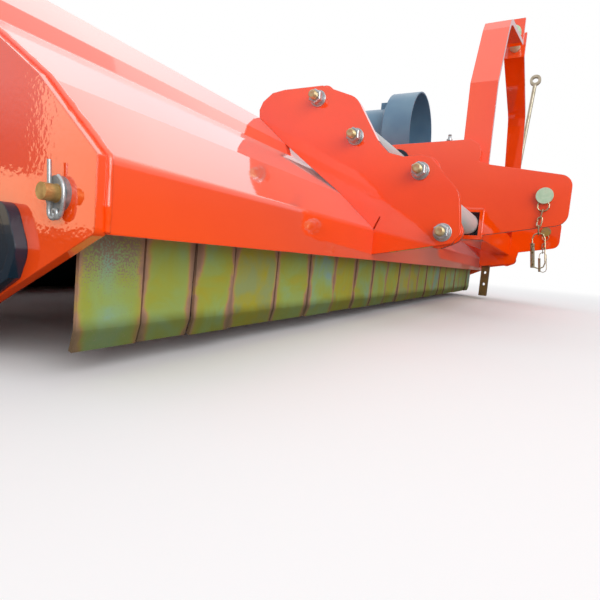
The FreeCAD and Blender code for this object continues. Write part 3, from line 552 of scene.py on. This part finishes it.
@dataclass(frozen=True)
class Moulding(Finish):
    """Injection-moulded polyethylene: waxy, with the fine grain of a spark-eroded mould."""

    colour: str = "#5F84A0"
    light: str = "#7295AC"
    roughness: float = 0.38
    flow: float = 14.0
    grain_mm: float = 0.9
    grain_deep_mm: float = 0.03
    edge_mm: float = 1.2

    def draw(self, tree: Tree, place: Socket) -> Dict[str, Any]:
        """Even colour with faint flow marks and a fine grain."""
        flow = noise(tree, place, self.flow)
        grain = noise(tree, place, per_metre(self.grain_mm))
        return {
            "Base Color": ramp(tree, flow, ((0.35, self.colour), (0.7, self.light))),
            "Roughness": self.roughness,
            "Normal": bump(tree, grain, self.grain_deep_mm, bevel(tree, self.edge_mm)),
        }


@dataclass(frozen=True)
class Casting(Finish):
    """Sand-cast iron or forged steel under thin paint or scale: dull, with a pebbled skin."""

    colour: str = "#5B6062"
    dark: str = "#44484A"
    roughness: float = 0.55
    metallic: float = 0.2
    sand_mm: float = 2.2
    sand_deep_mm: float = 0.25

    def draw(self, tree: Tree, place: Socket) -> Dict[str, Any]:
        """Pebbled bump with the colour a little darker in the hollows."""
        sand = noise(tree, place, per_metre(self.sand_mm), detail=3.0)
        return {
            "Base Color": ramp(tree, sand, ((0.3, self.dark), (0.6, self.colour))),
            "Metallic": self.metallic,
            "Roughness": self.roughness,
            "Normal": bump(tree, sand, self.sand_deep_mm),
        }


class Slot(Enum):
    """The record's material slots."""

    RED = "red_enamel"
    BLACK = "black_enamel"
    YELLOW = "yellow_zinc"
    RAIL = "rail_grey"
    SHIELD = "shield_plastic"
    GEARBOX = "gearbox_grey"
    SHAFT = "machined_steel"
    CHROME = "chrome_rod"
    ROTOR = "rotor_paint"
    HAMMER = "forged_steel"
    ROLLER = "roller_black"
    CHAIN = "chain_zinc"


RED = Enamel("orange_red_enamel")
HOOD = Enamel("polished_hood_enamel", sheen=0.5)
# Black enamel tinted navy: the blue tint is partly a painted reflection of sky on the gloss.
BLACK = Enamel("blue_black_enamel", "#102A3A", "#0A1924", roughness=0.25, coat=0.3,
               sheet_deep_mm=0.1)
SPRAYED = Enamel("thick_sprayed_enamel", peel_mm=3.6, peel_deep_mm=0.075, sheet_mm=60.0,
                 sheet_deep_mm=0.12)
DULL_BLACK = Casting("black_primer", "#1C1F22", "#131517", roughness=0.5, metallic=0.0,
                     sand_mm=1.2)
YELLOW = Zinc("yellow_chromated_zinc")
FLAPS = FlapZinc("yellow_chromated_flaps")
BRIGHT = Zinc("clear_passivated_zinc", ((0.3, "#A6ACAF"), (0.6, "#C0C6C8"), (0.85, "#ACB2B8")),
              roughness=0.28, metallic=0.6, patch_mm=9.0)
GOLD = Zinc("gold_chromated_zinc", ((0.3, "#B49A68"), (0.6, "#CDBD94"), (0.85, "#A9977C")),
            roughness=0.36, metallic=0.55, patch_mm=6.0)
RODS = RodZinc("rod_and_washer_zinc")
DULL_ZINC = Zinc("dull_leg_zinc", ((0.3, "#7E6448"), (0.6, "#927A4C"), (0.85, "#6E5A3E")),
                 roughness=0.4, metallic=0.7, patch_mm=22.0)
PALE_ZINC = Zinc("pale_chromated_zinc", ((0.3, "#BFE0BE"), (0.6, "#D2EACC"), (0.85, "#C6D2B0")),
                 roughness=0.36, metallic=0.45, patch_mm=9.0)
LINKS = Zinc("tarnished_chain_zinc", ((0.35, "#6E6048"), (0.5, "#C2B28A"), (0.65, "#A49E94")),
             roughness=0.3, metallic=0.75, patch_mm=5.0)
CREAM_ZINC = Zinc("cream_chromated_zinc", ((0.3, "#B4AC90"), (0.6, "#D2CAB4"), (0.85, "#A69E84")),
                  roughness=0.34, metallic=0.6, patch_mm=14.0)
RAIL = Steel("drawn_rail_steel", "#C8D2D2", roughness=0.36, metallic=0.1)
GROUND = Steel("ground_shaft_steel", "#B4B5B6", roughness=0.26, streak=(900.0, 6.0, 900.0))
CHROME = Steel("hard_chrome", "#DADCDD", roughness=0.08)
PLASTIC = Moulding("moulded_shield")
IRON = Casting("grey_primed_iron")
FORGED = Casting("scaled_forging", "#3B3A38", "#262523", roughness=0.5, metallic=0.6, sand_mm=1.6)

NODE_FINISHES: Dict[str, Finish] = {
    "hood": HOOD, "front_flaps": FLAPS, "flap_rod": RODS, "side_plate_right": SPRAYED,
    "side_plate_left": SPRAYED, "parking_leg": DULL_ZINC, "hose_carrier": CREAM_ZINC,
    "pin_chains": LINKS, "lower_pin_right": PALE_ZINC, "lower_pin_left": YELLOW,
    "top_pin": PALE_ZINC,
}
SLOT_FINISHES: Dict[Slot, Finish] = {
    Slot.RED: RED, Slot.BLACK: BLACK, Slot.YELLOW: YELLOW, Slot.RAIL: RAIL,
    Slot.SHIELD: PLASTIC, Slot.GEARBOX: IRON, Slot.SHAFT: GROUND, Slot.CHROME: CHROME,
    Slot.ROTOR: DULL_BLACK, Slot.HAMMER: FORGED, Slot.ROLLER: BLACK, Slot.CHAIN: PALE_ZINC,
}


def dress_frame() -> None:
    """Gives every CAD node the finish of its slot, or its own where it has one."""
    slots = {part["node"]: Slot(part["material_slot"]) for part in frame["record"]["subparts"]}
    for name, node in frame["nodes"].items():
        finish = NODE_FINISHES.get(name, SLOT_FINISHES[slots[name]])
        node.data.materials.clear()
        node.data.materials.append(finish.material())


# ---------------------------------------------------------------- modelling by operators

# Sides of a turned piece, and the angles up to which an edge is shaded smooth.
ROUND, HEXAGON = 40, 6
TURNED_ANGLE, WIRE_ANGLE, SPLINE_ANGLE = (math.radians(degrees) for degrees in (32, 60, 25))

# How round a wire is, how finely its line is drawn, and a weld's lumps to its radius.
WIRE_ROUNDNESS, LINE_ORDER, LINE_STEPS = 3, 3, 6
LUMP_SPREAD = 2.2


class Way(Enum):
    """The machine's axes, as the way that a turned piece grows."""

    RIGHT = (-1, 0, 0)
    LEFT = (1, 0, 0)
    BACK = (0, 1, 0)
    UP = (0, 0, 1)


def only(*pieces: Piece) -> None:
    """Selects these pieces and nothing else; the first one becomes active."""
    bpy.ops.object.select_all(action="DESELECT")
    for piece in pieces:
        piece.select_set(True)
    bpy.context.view_layer.objects.active = pieces[0]


def settle(piece: Piece, name: str) -> Piece:
    """Names a piece and puts its place into its mesh."""
    piece.name = name
    piece.data.name = name
    only(piece)
    bpy.ops.object.transform_apply(location=True, rotation=True, scale=True)
    return piece


def modify(piece: Piece, kind: str, **settings: Any) -> None:
    """Adds a modifier with its settings and applies it."""
    only(piece)
    modifier = piece.modifiers.new(kind.lower(), kind)
    for name, value in settings.items():
        setattr(modifier, name, value)
    bpy.ops.object.modifier_apply(modifier=modifier.name)


def merged(name: str, pieces: Sequence[Piece]) -> Piece:
    """Joins pieces into one."""
    only(*pieces)
    if len(pieces) > 1:
        bpy.ops.object.join()
    return settle(bpy.context.view_layer.objects.active, name)


def copies(piece: Piece, shifts: Iterable[Vector]) -> List[Piece]:
    """Copies a piece to each shift, each copy with its own mesh, and removes the model."""
    made = []
    for shift in shifts:
        twin = piece.copy()
        twin.data = piece.data.copy()
        twin.data.transform(Matrix.Translation(shift))
        bpy.context.scene.collection.objects.link(twin)
        made.append(twin)
    bpy.data.objects.remove(piece)
    return made


def close_up() -> None:
    """Turns all faces of the mesh being edited outwards, and ends the editing."""
    bpy.ops.mesh.select_all(action="SELECT")
    bpy.ops.mesh.normals_make_consistent(inside=False)
    bpy.ops.object.mode_set(mode="OBJECT")


def turned(name: str, base: Vector, way: Way, steps: Sequence[Tuple[float, float]],
           sides: int = ROUND) -> Piece:
    """Grows a round or many-sided piece from a disc, step by step along one axis.

    Args:
        name: the piece's name.
        base: centre of the first disc, in metres.
        way: the axis it grows along.
        steps: (distance from the base, radius) of each ring, in millimetres.
        sides: how many sides a ring has.

    Returns:
        The closed piece, its faces outwards.
    """
    axis = Vector(way.value)
    bpy.ops.object.select_all(action="DESELECT")
    bpy.ops.mesh.primitive_circle_add(
        vertices=sides, radius=steps[0][1] * MM, fill_type="NGON", location=base,
        rotation=axis.to_track_quat("Z", "Y").to_euler())
    piece = bpy.context.active_object
    bpy.ops.object.mode_set(mode="EDIT")
    bpy.ops.mesh.select_all(action="SELECT")
    for (before, old), (after, new) in zip(steps, steps[1:]):
        advance = axis * (after - before) * MM
        bpy.ops.mesh.extrude_region_move(TRANSFORM_OT_translate={"value": advance})
        if new != old:
            bpy.ops.transform.resize(value=(new / old,) * 3,
                                     center_override=base + axis * after * MM)
    close_up()
    settle(piece, name)
    bpy.ops.object.shade_smooth_by_angle(angle=TURNED_ANGLE)
    return piece


def wire(name: str, points: Sequence[Vector], radius_mm: float, lumps_mm: float = 0.0,
         smooth: bool = True) -> Piece:
    """A round wire or weld bead along a line.

    Args:
        name: the piece's name.
        points: the points that the line passes or, when smooth, is drawn towards.
        radius_mm: the wire's radius.
        lumps_mm: how far its skin rises and falls, as a weld's does.
        smooth: whether the line is a smooth curve.

    Returns:
        The closed mesh.
    """
    curve = bpy.data.curves.new(name, "CURVE")
    curve.dimensions = "3D"
    curve.bevel_depth = radius_mm * MM
    curve.bevel_resolution = WIRE_ROUNDNESS
    curve.use_fill_caps = True
    spline = curve.splines.new("NURBS" if smooth else "POLY")
    spline.points.add(len(points) - 1)
    for slot, point in zip(spline.points, points):
        slot.co = (*point, 1.0)
    if smooth:
        spline.order_u = LINE_ORDER
        spline.use_endpoint_u = True
        spline.resolution_u = LINE_STEPS
    piece = bpy.data.objects.new(name, curve)
    bpy.context.scene.collection.objects.link(piece)
    only(piece)
    bpy.ops.object.convert(target="MESH")
    piece = settle(bpy.context.active_object, name)
    if lumps_mm:
        texture = bpy.data.textures.new(name, "CLOUDS")
        texture.noise_scale = LUMP_SPREAD * radius_mm * MM
        modify(piece, "DISPLACE", texture=texture, texture_coords="LOCAL", mid_level=0.5,
               strength=lumps_mm * MM)
    only(piece)
    bpy.ops.object.shade_smooth_by_angle(angle=WIRE_ANGLE)
    return piece


def run(corners: Sequence[Vector], step_mm: float) -> List[Vector]:
    """Points along a line of corners, evenly spaced between each two of them."""
    points = [corners[0]]
    for start, end in zip(corners, corners[1:]):
        count = max(2, round((end - start).length / (step_mm * MM)))
        points += [start.lerp(end, index / count) for index in range(1, count + 1)]
    return points


def place_piece(piece: Piece, body: str, finish: Finish) -> Piece:
    """Gives a finished piece its looks and its place in the assembly.

    Args:
        piece: the piece.
        body: the record's body that it rides on.
        finish: its finish.

    Returns:
        The same piece.
    """
    piece.data.materials.clear()
    piece.data.materials.append(finish.material())
    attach(piece, body)
    LOG.info("%s rides on %s, %d faces", piece.name, body, len(piece.data.polygons))
    return piece


def weld(name: str, body: str, corners: Sequence[Vector], radius_mm: float, lumps_mm: float = 1.5,
         step_mm: float = 5.0) -> None:
    """Lays a painted weld bead.

    Args:
        name: the bead's name.
        body: the record's body that it rides on.
        corners: the line that it follows.
        radius_mm: its radius.
        lumps_mm: how far its skin rises and falls.
        step_mm: how far apart its points are.
    """
    bead = wire(name, run(corners, step_mm), radius_mm, lumps_mm, smooth=False)
    place_piece(bead, body, RED)


# ---------------------------------------------------------------- small parts


@dataclass
class Bolting:
    """Nuts on studs, or hexagon heads, with flat and spring washers under them.

    The thread is a diameter, and washer and nut are radii. A thread's flank and crest end at
    shares of its pitch, and a head's sides and top at shares of the nut's depth.
    """

    thread: float = 12.0
    thread_deep: float = 0.9
    pitch: float = 1.75
    flank: float = 0.45
    crest: float = 0.6
    threads_out: int = 5
    stud_sides: int = 28
    washer: float = 12.2
    washer_deep: float = 2.4
    spring_deep: float = 2.6
    nut: float = 10.6
    nut_deep: float = 9.5
    chamfer: float = 1.4
    head_side: float = 0.66
    head_top: float = 0.78

    def flat_steps(self) -> List[Tuple[float, float]]:
        """The flat washer's rings, with its upper edge rolled off."""
        return [(0, self.washer), (self.washer_deep - 0.5, self.washer),
                (self.washer_deep, self.washer - 0.6)]

    def nut_at(self, spot: Vector, way: Way) -> Piece:
        """A nut with its flat and spring washers, on the face at spot."""
        axis = Vector(way.value)
        flat = turned("flat", spot, way, self.flat_steps() + [(self.washer_deep, self.nut)])
        ring = turned("ring", spot + axis * self.washer_deep * MM, way,
                      ((0, self.nut - 0.4), (2.2, self.nut - 0.4),
                       (self.spring_deep, self.nut - 1.2)))
        deep = self.nut_deep
        nut = turned("nut", spot + axis * (self.washer_deep + self.spring_deep) * MM, way,
                     ((0, self.nut - 1), (0.8, self.nut), (deep - 1, self.nut),
                      (deep, self.nut - self.chamfer), (deep, self.thread / 2 + 0.6),
                      (deep - 1.2, self.thread / 2)), HEXAGON)
        return merged("nut", [flat, ring, nut])

    def stud_at(self, spot: Vector, way: Way) -> Piece:
        """The threaded end that stands out of the nut on the face at spot."""
        start = self.washer_deep + self.spring_deep + self.nut_deep - 2
        outer, root = self.thread / 2, self.thread / 2 - self.thread_deep
        steps = [(0, root)]
        for index in range(self.threads_out + 1):
            base = start + index * self.pitch
            steps += [(base, root), (base + self.pitch * self.flank, outer),
                      (base + self.pitch * self.crest, outer)]
        end = steps[-1][0] + 1
        steps += [(end, root - 0.5), (end, root - 3), (end - 0.3, root - 4)]
        return turned("stud", spot, way, steps, self.stud_sides)

    def head_at(self, spot: Vector, way: Way) -> Piece:
        """A hexagon head on its flat washer, on the face at spot."""
        axis = Vector(way.value)
        flat = turned("flat", spot, way, self.flat_steps())
        head = turned("head", spot + axis * self.washer_deep * MM, way,
                      ((0, self.nut), (self.nut_deep * self.head_side, self.nut),
                       (self.nut_deep * self.head_top, self.nut - self.chamfer)), HEXAGON)
        return merged("head", [flat, head])


def row(model: Callable[[Vector, Way], Piece], spots: Sequence[Vector], way: Way,
        name: str) -> Piece:
    """Makes one model at the first spot and copies it to all of them, as one piece.

    Args:
        model: what makes it, from a spot and a way.
        spots: where the copies stand.
        way: the way that they grow.
        name: the piece's name.

    Returns:
        The piece.
    """
    first = model(spots[0], way)
    return merged(name, copies(first, [spot - spots[0] for spot in spots]))


def circle_spots(centre: Vector, radius_mm: float, count: int, turn: float) -> List[Vector]:
    """Spots on a bolt circle that stands across the machine, turned by an angle."""
    angles = [turn + 2 * math.pi * index / count for index in range(count)]
    return [centre + Vector((0, math.cos(a), math.sin(a))) * radius_mm * MM for a in angles]


@dataclass
class RailBrackets:
    """Bolts and welds of the two plates that carry the rails."""

    bolts: Tuple[Tuple[float, float], ...] = ((107, 332), (41, 273), (-58, 223), (-96, 142))
    foot: Tuple[Tuple[float, float], ...] = ((-1, 107), (-1, 143), (57, 193.5))
    near: float = 456.0
    far: float = 1640.0
    plate: float = 12.0

    def build(self) -> None:
        """Nuts and studs outside both plates, and a weld along each foot."""
        bolting = Bolting()
        for name, across, way in (("right", self.near, Way.RIGHT), ("left", self.far, Way.LEFT)):
            spots = [at(across, behind, up) for behind, up in self.bolts]
            nuts = row(bolting.nut_at, spots, way, f"bracket_nuts_{name}")
            place_piece(nuts, "housing", BRIGHT)
            studs = row(bolting.stud_at, spots, way, f"bracket_studs_{name}")
            place_piece(studs, "housing", GOLD)
        for name, across in (("right", self.near + self.plate), ("left", self.far - self.plate)):
            corners = [at(across, behind, up) for behind, up in self.foot]
            weld(f"bracket_weld_{name}", "housing", corners, radius_mm=2.6, lumps_mm=1.6,
                 step_mm=6.0)


@dataclass
class FlapRod:
    """What keeps the flap rod in place: a hairpin clip through each end."""

    clip_across: float = -5.2
    clip_lean: float = 0.12
    stands_out: float = 12
    wire_mm: float = 1.25
    hairpin: Tuple[Tuple[float, float], ...] = (
        (3.6, 19), (3.2, 8), (2.6, -4), (3.4, -9), (3.0, -13.5), (-0.5, -15.5), (-4.0, -13.5),
        (-3.6, -10.0), (-0.8, -9.6), (0.6, -12.6), (-2.6, -15.2), (-6.8, -13.0), (-8.4, -6),
        (-8.6, 1), (-6.6, 7.5), (-2.6, 9.8))

    def clip(self, across: float, name: str) -> None:
        """A hairpin clip: one straight leg through the rod, and one bowed round it."""
        points = [at(across + index * self.clip_lean, ROD_BACK + behind, ROD_UP + up)
                  for index, (behind, up) in enumerate(self.hairpin)]
        place_piece(wire(name, points, self.wire_mm), "housing", BRIGHT)

    def build(self) -> None:
        """One clip at each end of the rod."""
        self.clip(self.clip_across, "rod_clip_right")
        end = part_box("flap_rod")[1].x / MM - RIGHT / MM
        self.clip(end - self.stands_out - self.clip_across, "rod_clip_left")


@dataclass
class PlateWelds:
    """Weld beads of the hood's ends and of the hitch's cross tube, thick with paint."""

    hood_inset: float = 8.0
    hood_profile: Tuple[Tuple[float, float], ...] = (
        (-0.6, 99), (-0.6, 142.4), (57.3, 192.6), (144.3, 248), (159.5, 268.8), (211.8, 312.6))
    hood_radius: float = 2.0
    tube_ends: Tuple[float, float] = (757.4, 1583.6)
    tube_back: float = -77.0
    tube_up: float = 184.0
    tube_half: float = 28.2
    tube_radius: float = 1.9

    def build(self) -> None:
        """Beads at the ends of the hood and round the ends of the cross tube."""
        for name, across in (("right", self.hood_inset), ("left", WIDTH - self.hood_inset)):
            corners = [at(across, behind, up) for behind, up in self.hood_profile]
            weld(f"end_weld_{name}", "housing", corners, self.hood_radius)
        half = self.tube_half
        square = [(-half, half), (-half, -half), (half, -half), (half, half), (-half, half)]
        for name, across in zip(("right", "left"), self.tube_ends):
            corners = [at(across, self.tube_back + behind, self.tube_up + up)
                       for behind, up in square]
            weld(f"tube_weld_{name}", "hitch", corners, self.tube_radius)


@dataclass
class InputShaft:
    """The splined end of the input shaft, which stands for the CAD's plain one."""

    up: float = 421.0
    start: float = 160.0
    length: float = 80.0
    outer: float = 17.45
    root: float = 14.3
    splines: int = 6
    corners_each: int = 8
    tip: float = 2
    tip_scale: float = 0.9
    heel: float = 4
    collar_steps: Tuple[Tuple[float, float], ...] = ((0, 21), (1, 22))
    collar_radius: float = 22
    collar_sides: int = 48

    def build(self) -> None:
        """Six splines with a chamfered end, and the plain collar behind them."""
        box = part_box("input_shaft")
        centre = at(GEARBOX_ACROSS, self.start, self.up)
        bpy.ops.object.select_all(action="DESELECT")
        bpy.ops.mesh.primitive_circle_add(
            vertices=self.splines * self.corners_each, radius=self.outer * MM, fill_type="NGON",
            location=centre, rotation=(-math.pi / 2, 0, 0))
        piece = bpy.context.active_object
        settle(piece, "splined_shaft")
        for index, corner in enumerate(piece.data.vertices):
            if index % self.corners_each < self.corners_each // 2:
                corner.co = centre + (corner.co - centre) * (self.root / self.outer)
        bpy.ops.object.mode_set(mode="EDIT")
        bpy.ops.mesh.select_all(action="SELECT")
        bpy.ops.transform.resize(value=(self.tip_scale,) * 3, center_override=centre)
        for advance, scale in ((self.tip, 1 / self.tip_scale),
                               (self.length - self.tip - self.heel, 1.0), (self.heel, 1.0)):
            centre = centre + Vector((0, advance * MM, 0))
            bpy.ops.mesh.extrude_region_move(
                TRANSFORM_OT_translate={"value": (0, advance * MM, 0)})
            bpy.ops.transform.resize(value=(scale,) * 3, center_override=centre)
        close_up()
        collar_start = self.start + self.length
        deep = (box[1].y - FACE) / MM - collar_start
        collar = turned("collar", at(GEARBOX_ACROSS, collar_start, self.up), Way.BACK,
                        (*self.collar_steps, (deep, self.collar_radius)), self.collar_sides)
        shaft = merged("splined_shaft", [piece, collar])
        only(shaft)
        bpy.ops.object.shade_smooth_by_angle(angle=SPLINE_ANGLE)
        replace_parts(place_piece(shaft, "input_shaft", GROUND), "input_shaft")


@dataclass
class HousingBolts:
    """Bolts of the bearings, roller arms, gearbox and belt guard."""

    bearing_out: float = 10.0
    bearing_back: float = 290.0
    bearing_up: float = 172.0
    bearing_circle: float = 53
    bearing_bolts: int = 4
    arm: Tuple[Tuple[float, float], ...] = ((418, 98), (462, 118))
    saddle_half: float = 85
    saddle_behind: Tuple[float, float] = (276, 408)
    guard_rim: float = 1714.0
    guard: Tuple[Tuple[float, float], ...] = (
        (320, 493), (400, 493), (433, 450), (433, 345), (408, 256), (376, 146), (336, 111),
        (262, 111), (222, 152), (222, 226), (245, 327), (266, 420))

    def heads(self, bolting: Bolting, spots: Sequence[Vector], way: Way, name: str) -> None:
        """A row of bright heads on the housing, as one piece."""
        place_piece(row(bolting.head_at, spots, way, name), "housing", BRIGHT)

    def build(self) -> None:
        """Rows of heads, each row one piece."""
        large = Bolting(thread=10, washer=10.5, nut=9, nut_deep=7.5)
        small = Bolting(thread=8, washer=8.5, nut=7.2, nut_deep=6)
        tiny = Bolting(thread=6, washer=6.2, washer_deep=1.2, nut=5.4, nut_deep=5)
        ends = (("right", 0.0, Way.RIGHT), ("left", WIDTH, Way.LEFT))
        for name, across, way in ends:
            face = across + self.bearing_out * way.value[0]
            spots = circle_spots(at(face, self.bearing_back, self.bearing_up),
                                 self.bearing_circle, self.bearing_bolts, turn=math.pi / 4)
            self.heads(small, spots, way, f"bearing_bolts_{name}")
        for name, across, way in ends:
            spots = [at(across, behind, up) for behind, up in self.arm]
            self.heads(large, spots, way, f"arm_bolts_{name}")
        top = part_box("gearbox_saddle")[1].z / MM
        spots = [at(GEARBOX_ACROSS + side * self.saddle_half, behind, top)
                 for side in (-1, 1) for behind in self.saddle_behind]
        self.heads(small, spots, Way.UP, "saddle_bolts")
        spots = [at(self.guard_rim, behind, up) for behind, up in self.guard]
        self.heads(tiny, spots, Way.LEFT, "guard_bolts")


@dataclass
class HitchFittings:
    """Grease nipples on the rail bushes of the hitch frame."""

    bushes: Tuple[float, float] = (764.0, 1577.0)
    back: float = -26
    up: float = 343
    profile: Tuple[Tuple[float, float], ...] = (
        (0, 5.5), (3, 5.5), (3, 3.2), (8, 3.2), (9, 2.6), (10.5, 3.4), (12, 3.0), (13, 1.5))
    sides: int = 20

    def nipple_at(self, spot: Vector, way: Way) -> Piece:
        """A nipple with a round foot and a waisted head, on the face at spot."""
        return turned("nipple", spot, way, self.profile, self.sides)

    def build(self) -> None:
        """A nipple above each rail bush."""
        spots = [at(across, self.back, self.up) for across in self.bushes]
        nipples = row(self.nipple_at, spots, Way.UP, "grease_nipples")
        place_piece(nipples, "hitch", BRIGHT)


# ---------------------------------------------------------------- studio and camera

# The glare's colour, and what the lamps face.
WARM = "#FFE2B4"
MACHINE_MIDDLE = (-0.2, -0.1, 0.2)
RIGHT_END = (-0.876, -0.15, 0.14)
HOOD_FRONT = (-0.75, -0.1, 0.17)


@dataclass(frozen=True)
class Lamp:
    """A soft light at spot, of some width and height, that faces target."""

    name: str
    spot: Point
    target: Point
    size: Tuple[float, float]
    power: float
    colour: str = WHITE_HEX

    def build(self) -> None:
        """Puts the light into the scene."""
        data = bpy.data.lights.new(self.name, "AREA")
        data.shape = "RECTANGLE"
        data.size, data.size_y = self.size
        data.energy = self.power
        data.color = linear(self.colour)[:3]
        light = bpy.data.objects.new(self.name, data)
        facing = (Vector(self.target) - Vector(self.spot)).to_track_quat("-Z", "Y")
        light.matrix_world = Matrix.Translation(self.spot) @ facing.to_matrix().to_4x4()
        bpy.context.scene.collection.objects.link(light)


@dataclass(frozen=True)
class Studio:
    """A pale floor, soft lights and the camera.

    The eye is given as at() takes it, and right, up and ahead are the camera's axes. The floor
    has one colour for the eye, one for the light that it throws back and one for gloss.
    """

    lens: float = 27.3
    sensor: float = 36.0
    near_clip: float = 0.02
    eye: Point = (-171.1, -226.2, 94.7)
    right: Point = (0.4781, -0.8745, 0.0824)
    up: Point = (0.0443, 0.1178, 0.9921)
    ahead: Point = (0.8772, 0.4707, -0.0951)

    floor_size: float = 60.0
    floor_seen: str = "#FDFDFD"
    floor_lit: str = "#CBC5BE"
    floor_gloss: str = "#66544C"
    floor_fade: Range = (1.1, 3.2)
    floor_roughness: float = 0.9

    sky: str = "#D8D8DA"
    hall: Tuple[Stop, ...] = (
        (0.0, "#84685C"), (0.08, "#7A6E6C"), (0.16, "#84848C"), (0.26, "#C4C4CC"),
        (0.54, "#D6D6DA"), (0.68, WHITE_HEX))

    lamps: Tuple[Lamp, ...] = (
        Lamp("key", (-2.45, -2.9, 1.5), MACHINE_MIDDLE, (2.6, 2.4), 80.0),
        Lamp("glare", (-2.996, 2.545, 0.65), RIGHT_END, (0.78, 1.0), 3.0, WARM),
        Lamp("low glare", (-2.774, 3.303, 0.36), RIGHT_END, (0.39, 0.42), 0.62, WARM),
        Lamp("roof", (1.98, 1.48, 2.63), HOOD_FRONT, (4.0, 2.6), 14.0),
    )

    def camera(self) -> None:
        """The camera, low in front of the machine's right end."""
        data = bpy.data.cameras.new("camera")
        data.lens = self.lens
        data.sensor_width = self.sensor
        data.clip_start = self.near_clip
        camera = bpy.data.objects.new("camera", data)
        axes = [Vector(self.right).normalized(), Vector(self.up).normalized(),
                -Vector(self.ahead).normalized()]
        turn = Matrix(axes).transposed().to_4x4()
        camera.matrix_world = Matrix.Translation(at(*self.eye)) @ turn
        bpy.context.scene.collection.objects.link(camera)
        bpy.context.scene.camera = camera

    def floor(self) -> None:
        """A pale floor that throws back less light than the eye sees on it, and that turns
        into the white background further out."""
        bpy.ops.object.select_all(action="DESELECT")
        bpy.ops.mesh.primitive_plane_add(size=self.floor_size)
        floor = bpy.context.active_object
        floor.name = "floor"
        material = bpy.data.materials.new("pale_floor")
        material.use_nodes = True
        tree = material.node_tree
        path = add(tree, "LightPath").outputs
        other = blend(tree, path["Is Glossy Ray"], self.floor_lit, self.floor_gloss)
        colour = blend(tree, path["Is Camera Ray"], other, self.floor_seen)
        place = add(tree, "TexCoord").outputs["Object"]
        reach = add(tree, "VectorMath", {0: place}, operation="LENGTH").outputs[1]
        distant = remap(tree, reach, self.floor_fade, smooth=True)
        seen = maths(tree, "MULTIPLY", distant, path["Is Camera Ray"])
        plug(tree, tree.nodes["Principled BSDF"], {
            "Base Color": blend(tree, seen, colour, BLACK_HEX),
            "Roughness": self.floor_roughness,
            "Specular IOR Level": 0.0,
            "Emission Color": linear(WHITE_HEX),
            "Emission Strength": seen,
        })
        floor.data.materials.append(material)

    def world(self) -> None:
        """White where the eye sees it; a gloss sees the dim foot of a hall rise to a white roof."""
        world = bpy.data.worlds.new("studio")
        bpy.context.scene.world = world
        world.use_nodes = True
        tree = world.node_tree
        path = add(tree, "LightPath").outputs
        way = add(tree, "TexCoord").outputs["Generated"]
        hall = ramp(tree, add(tree, "SeparateXYZ", {0: way}).outputs[2], self.hall)
        soft = blend(tree, path["Is Diffuse Ray"], hall, self.sky)
        colour = blend(tree, path["Is Camera Ray"], soft, WHITE_HEX)
        plug(tree, tree.nodes["Background"], {0: colour})

    def build(self) -> None:
        """Camera, floor, world and the soft lights."""
        self.camera()
        self.floor()
        self.world()
        for lamp in self.lamps:
            lamp.build()
        bpy.context.scene.view_settings.view_transform = "Standard"


def main() -> None:
    """Builds the studio, the finishes and the small parts."""
    logging.basicConfig(level=logging.INFO, format="%(name)s: %(message)s")
    Studio().build()
    dress_frame()
    for assembly in (RailBrackets(), FlapRod(), PlateWelds(), InputShaft(), HousingBolts(),
                     HitchFittings()):
        assembly.build()
        LOG.info("%s built", type(assembly).__name__)


if __name__ == "__main__":
    main()
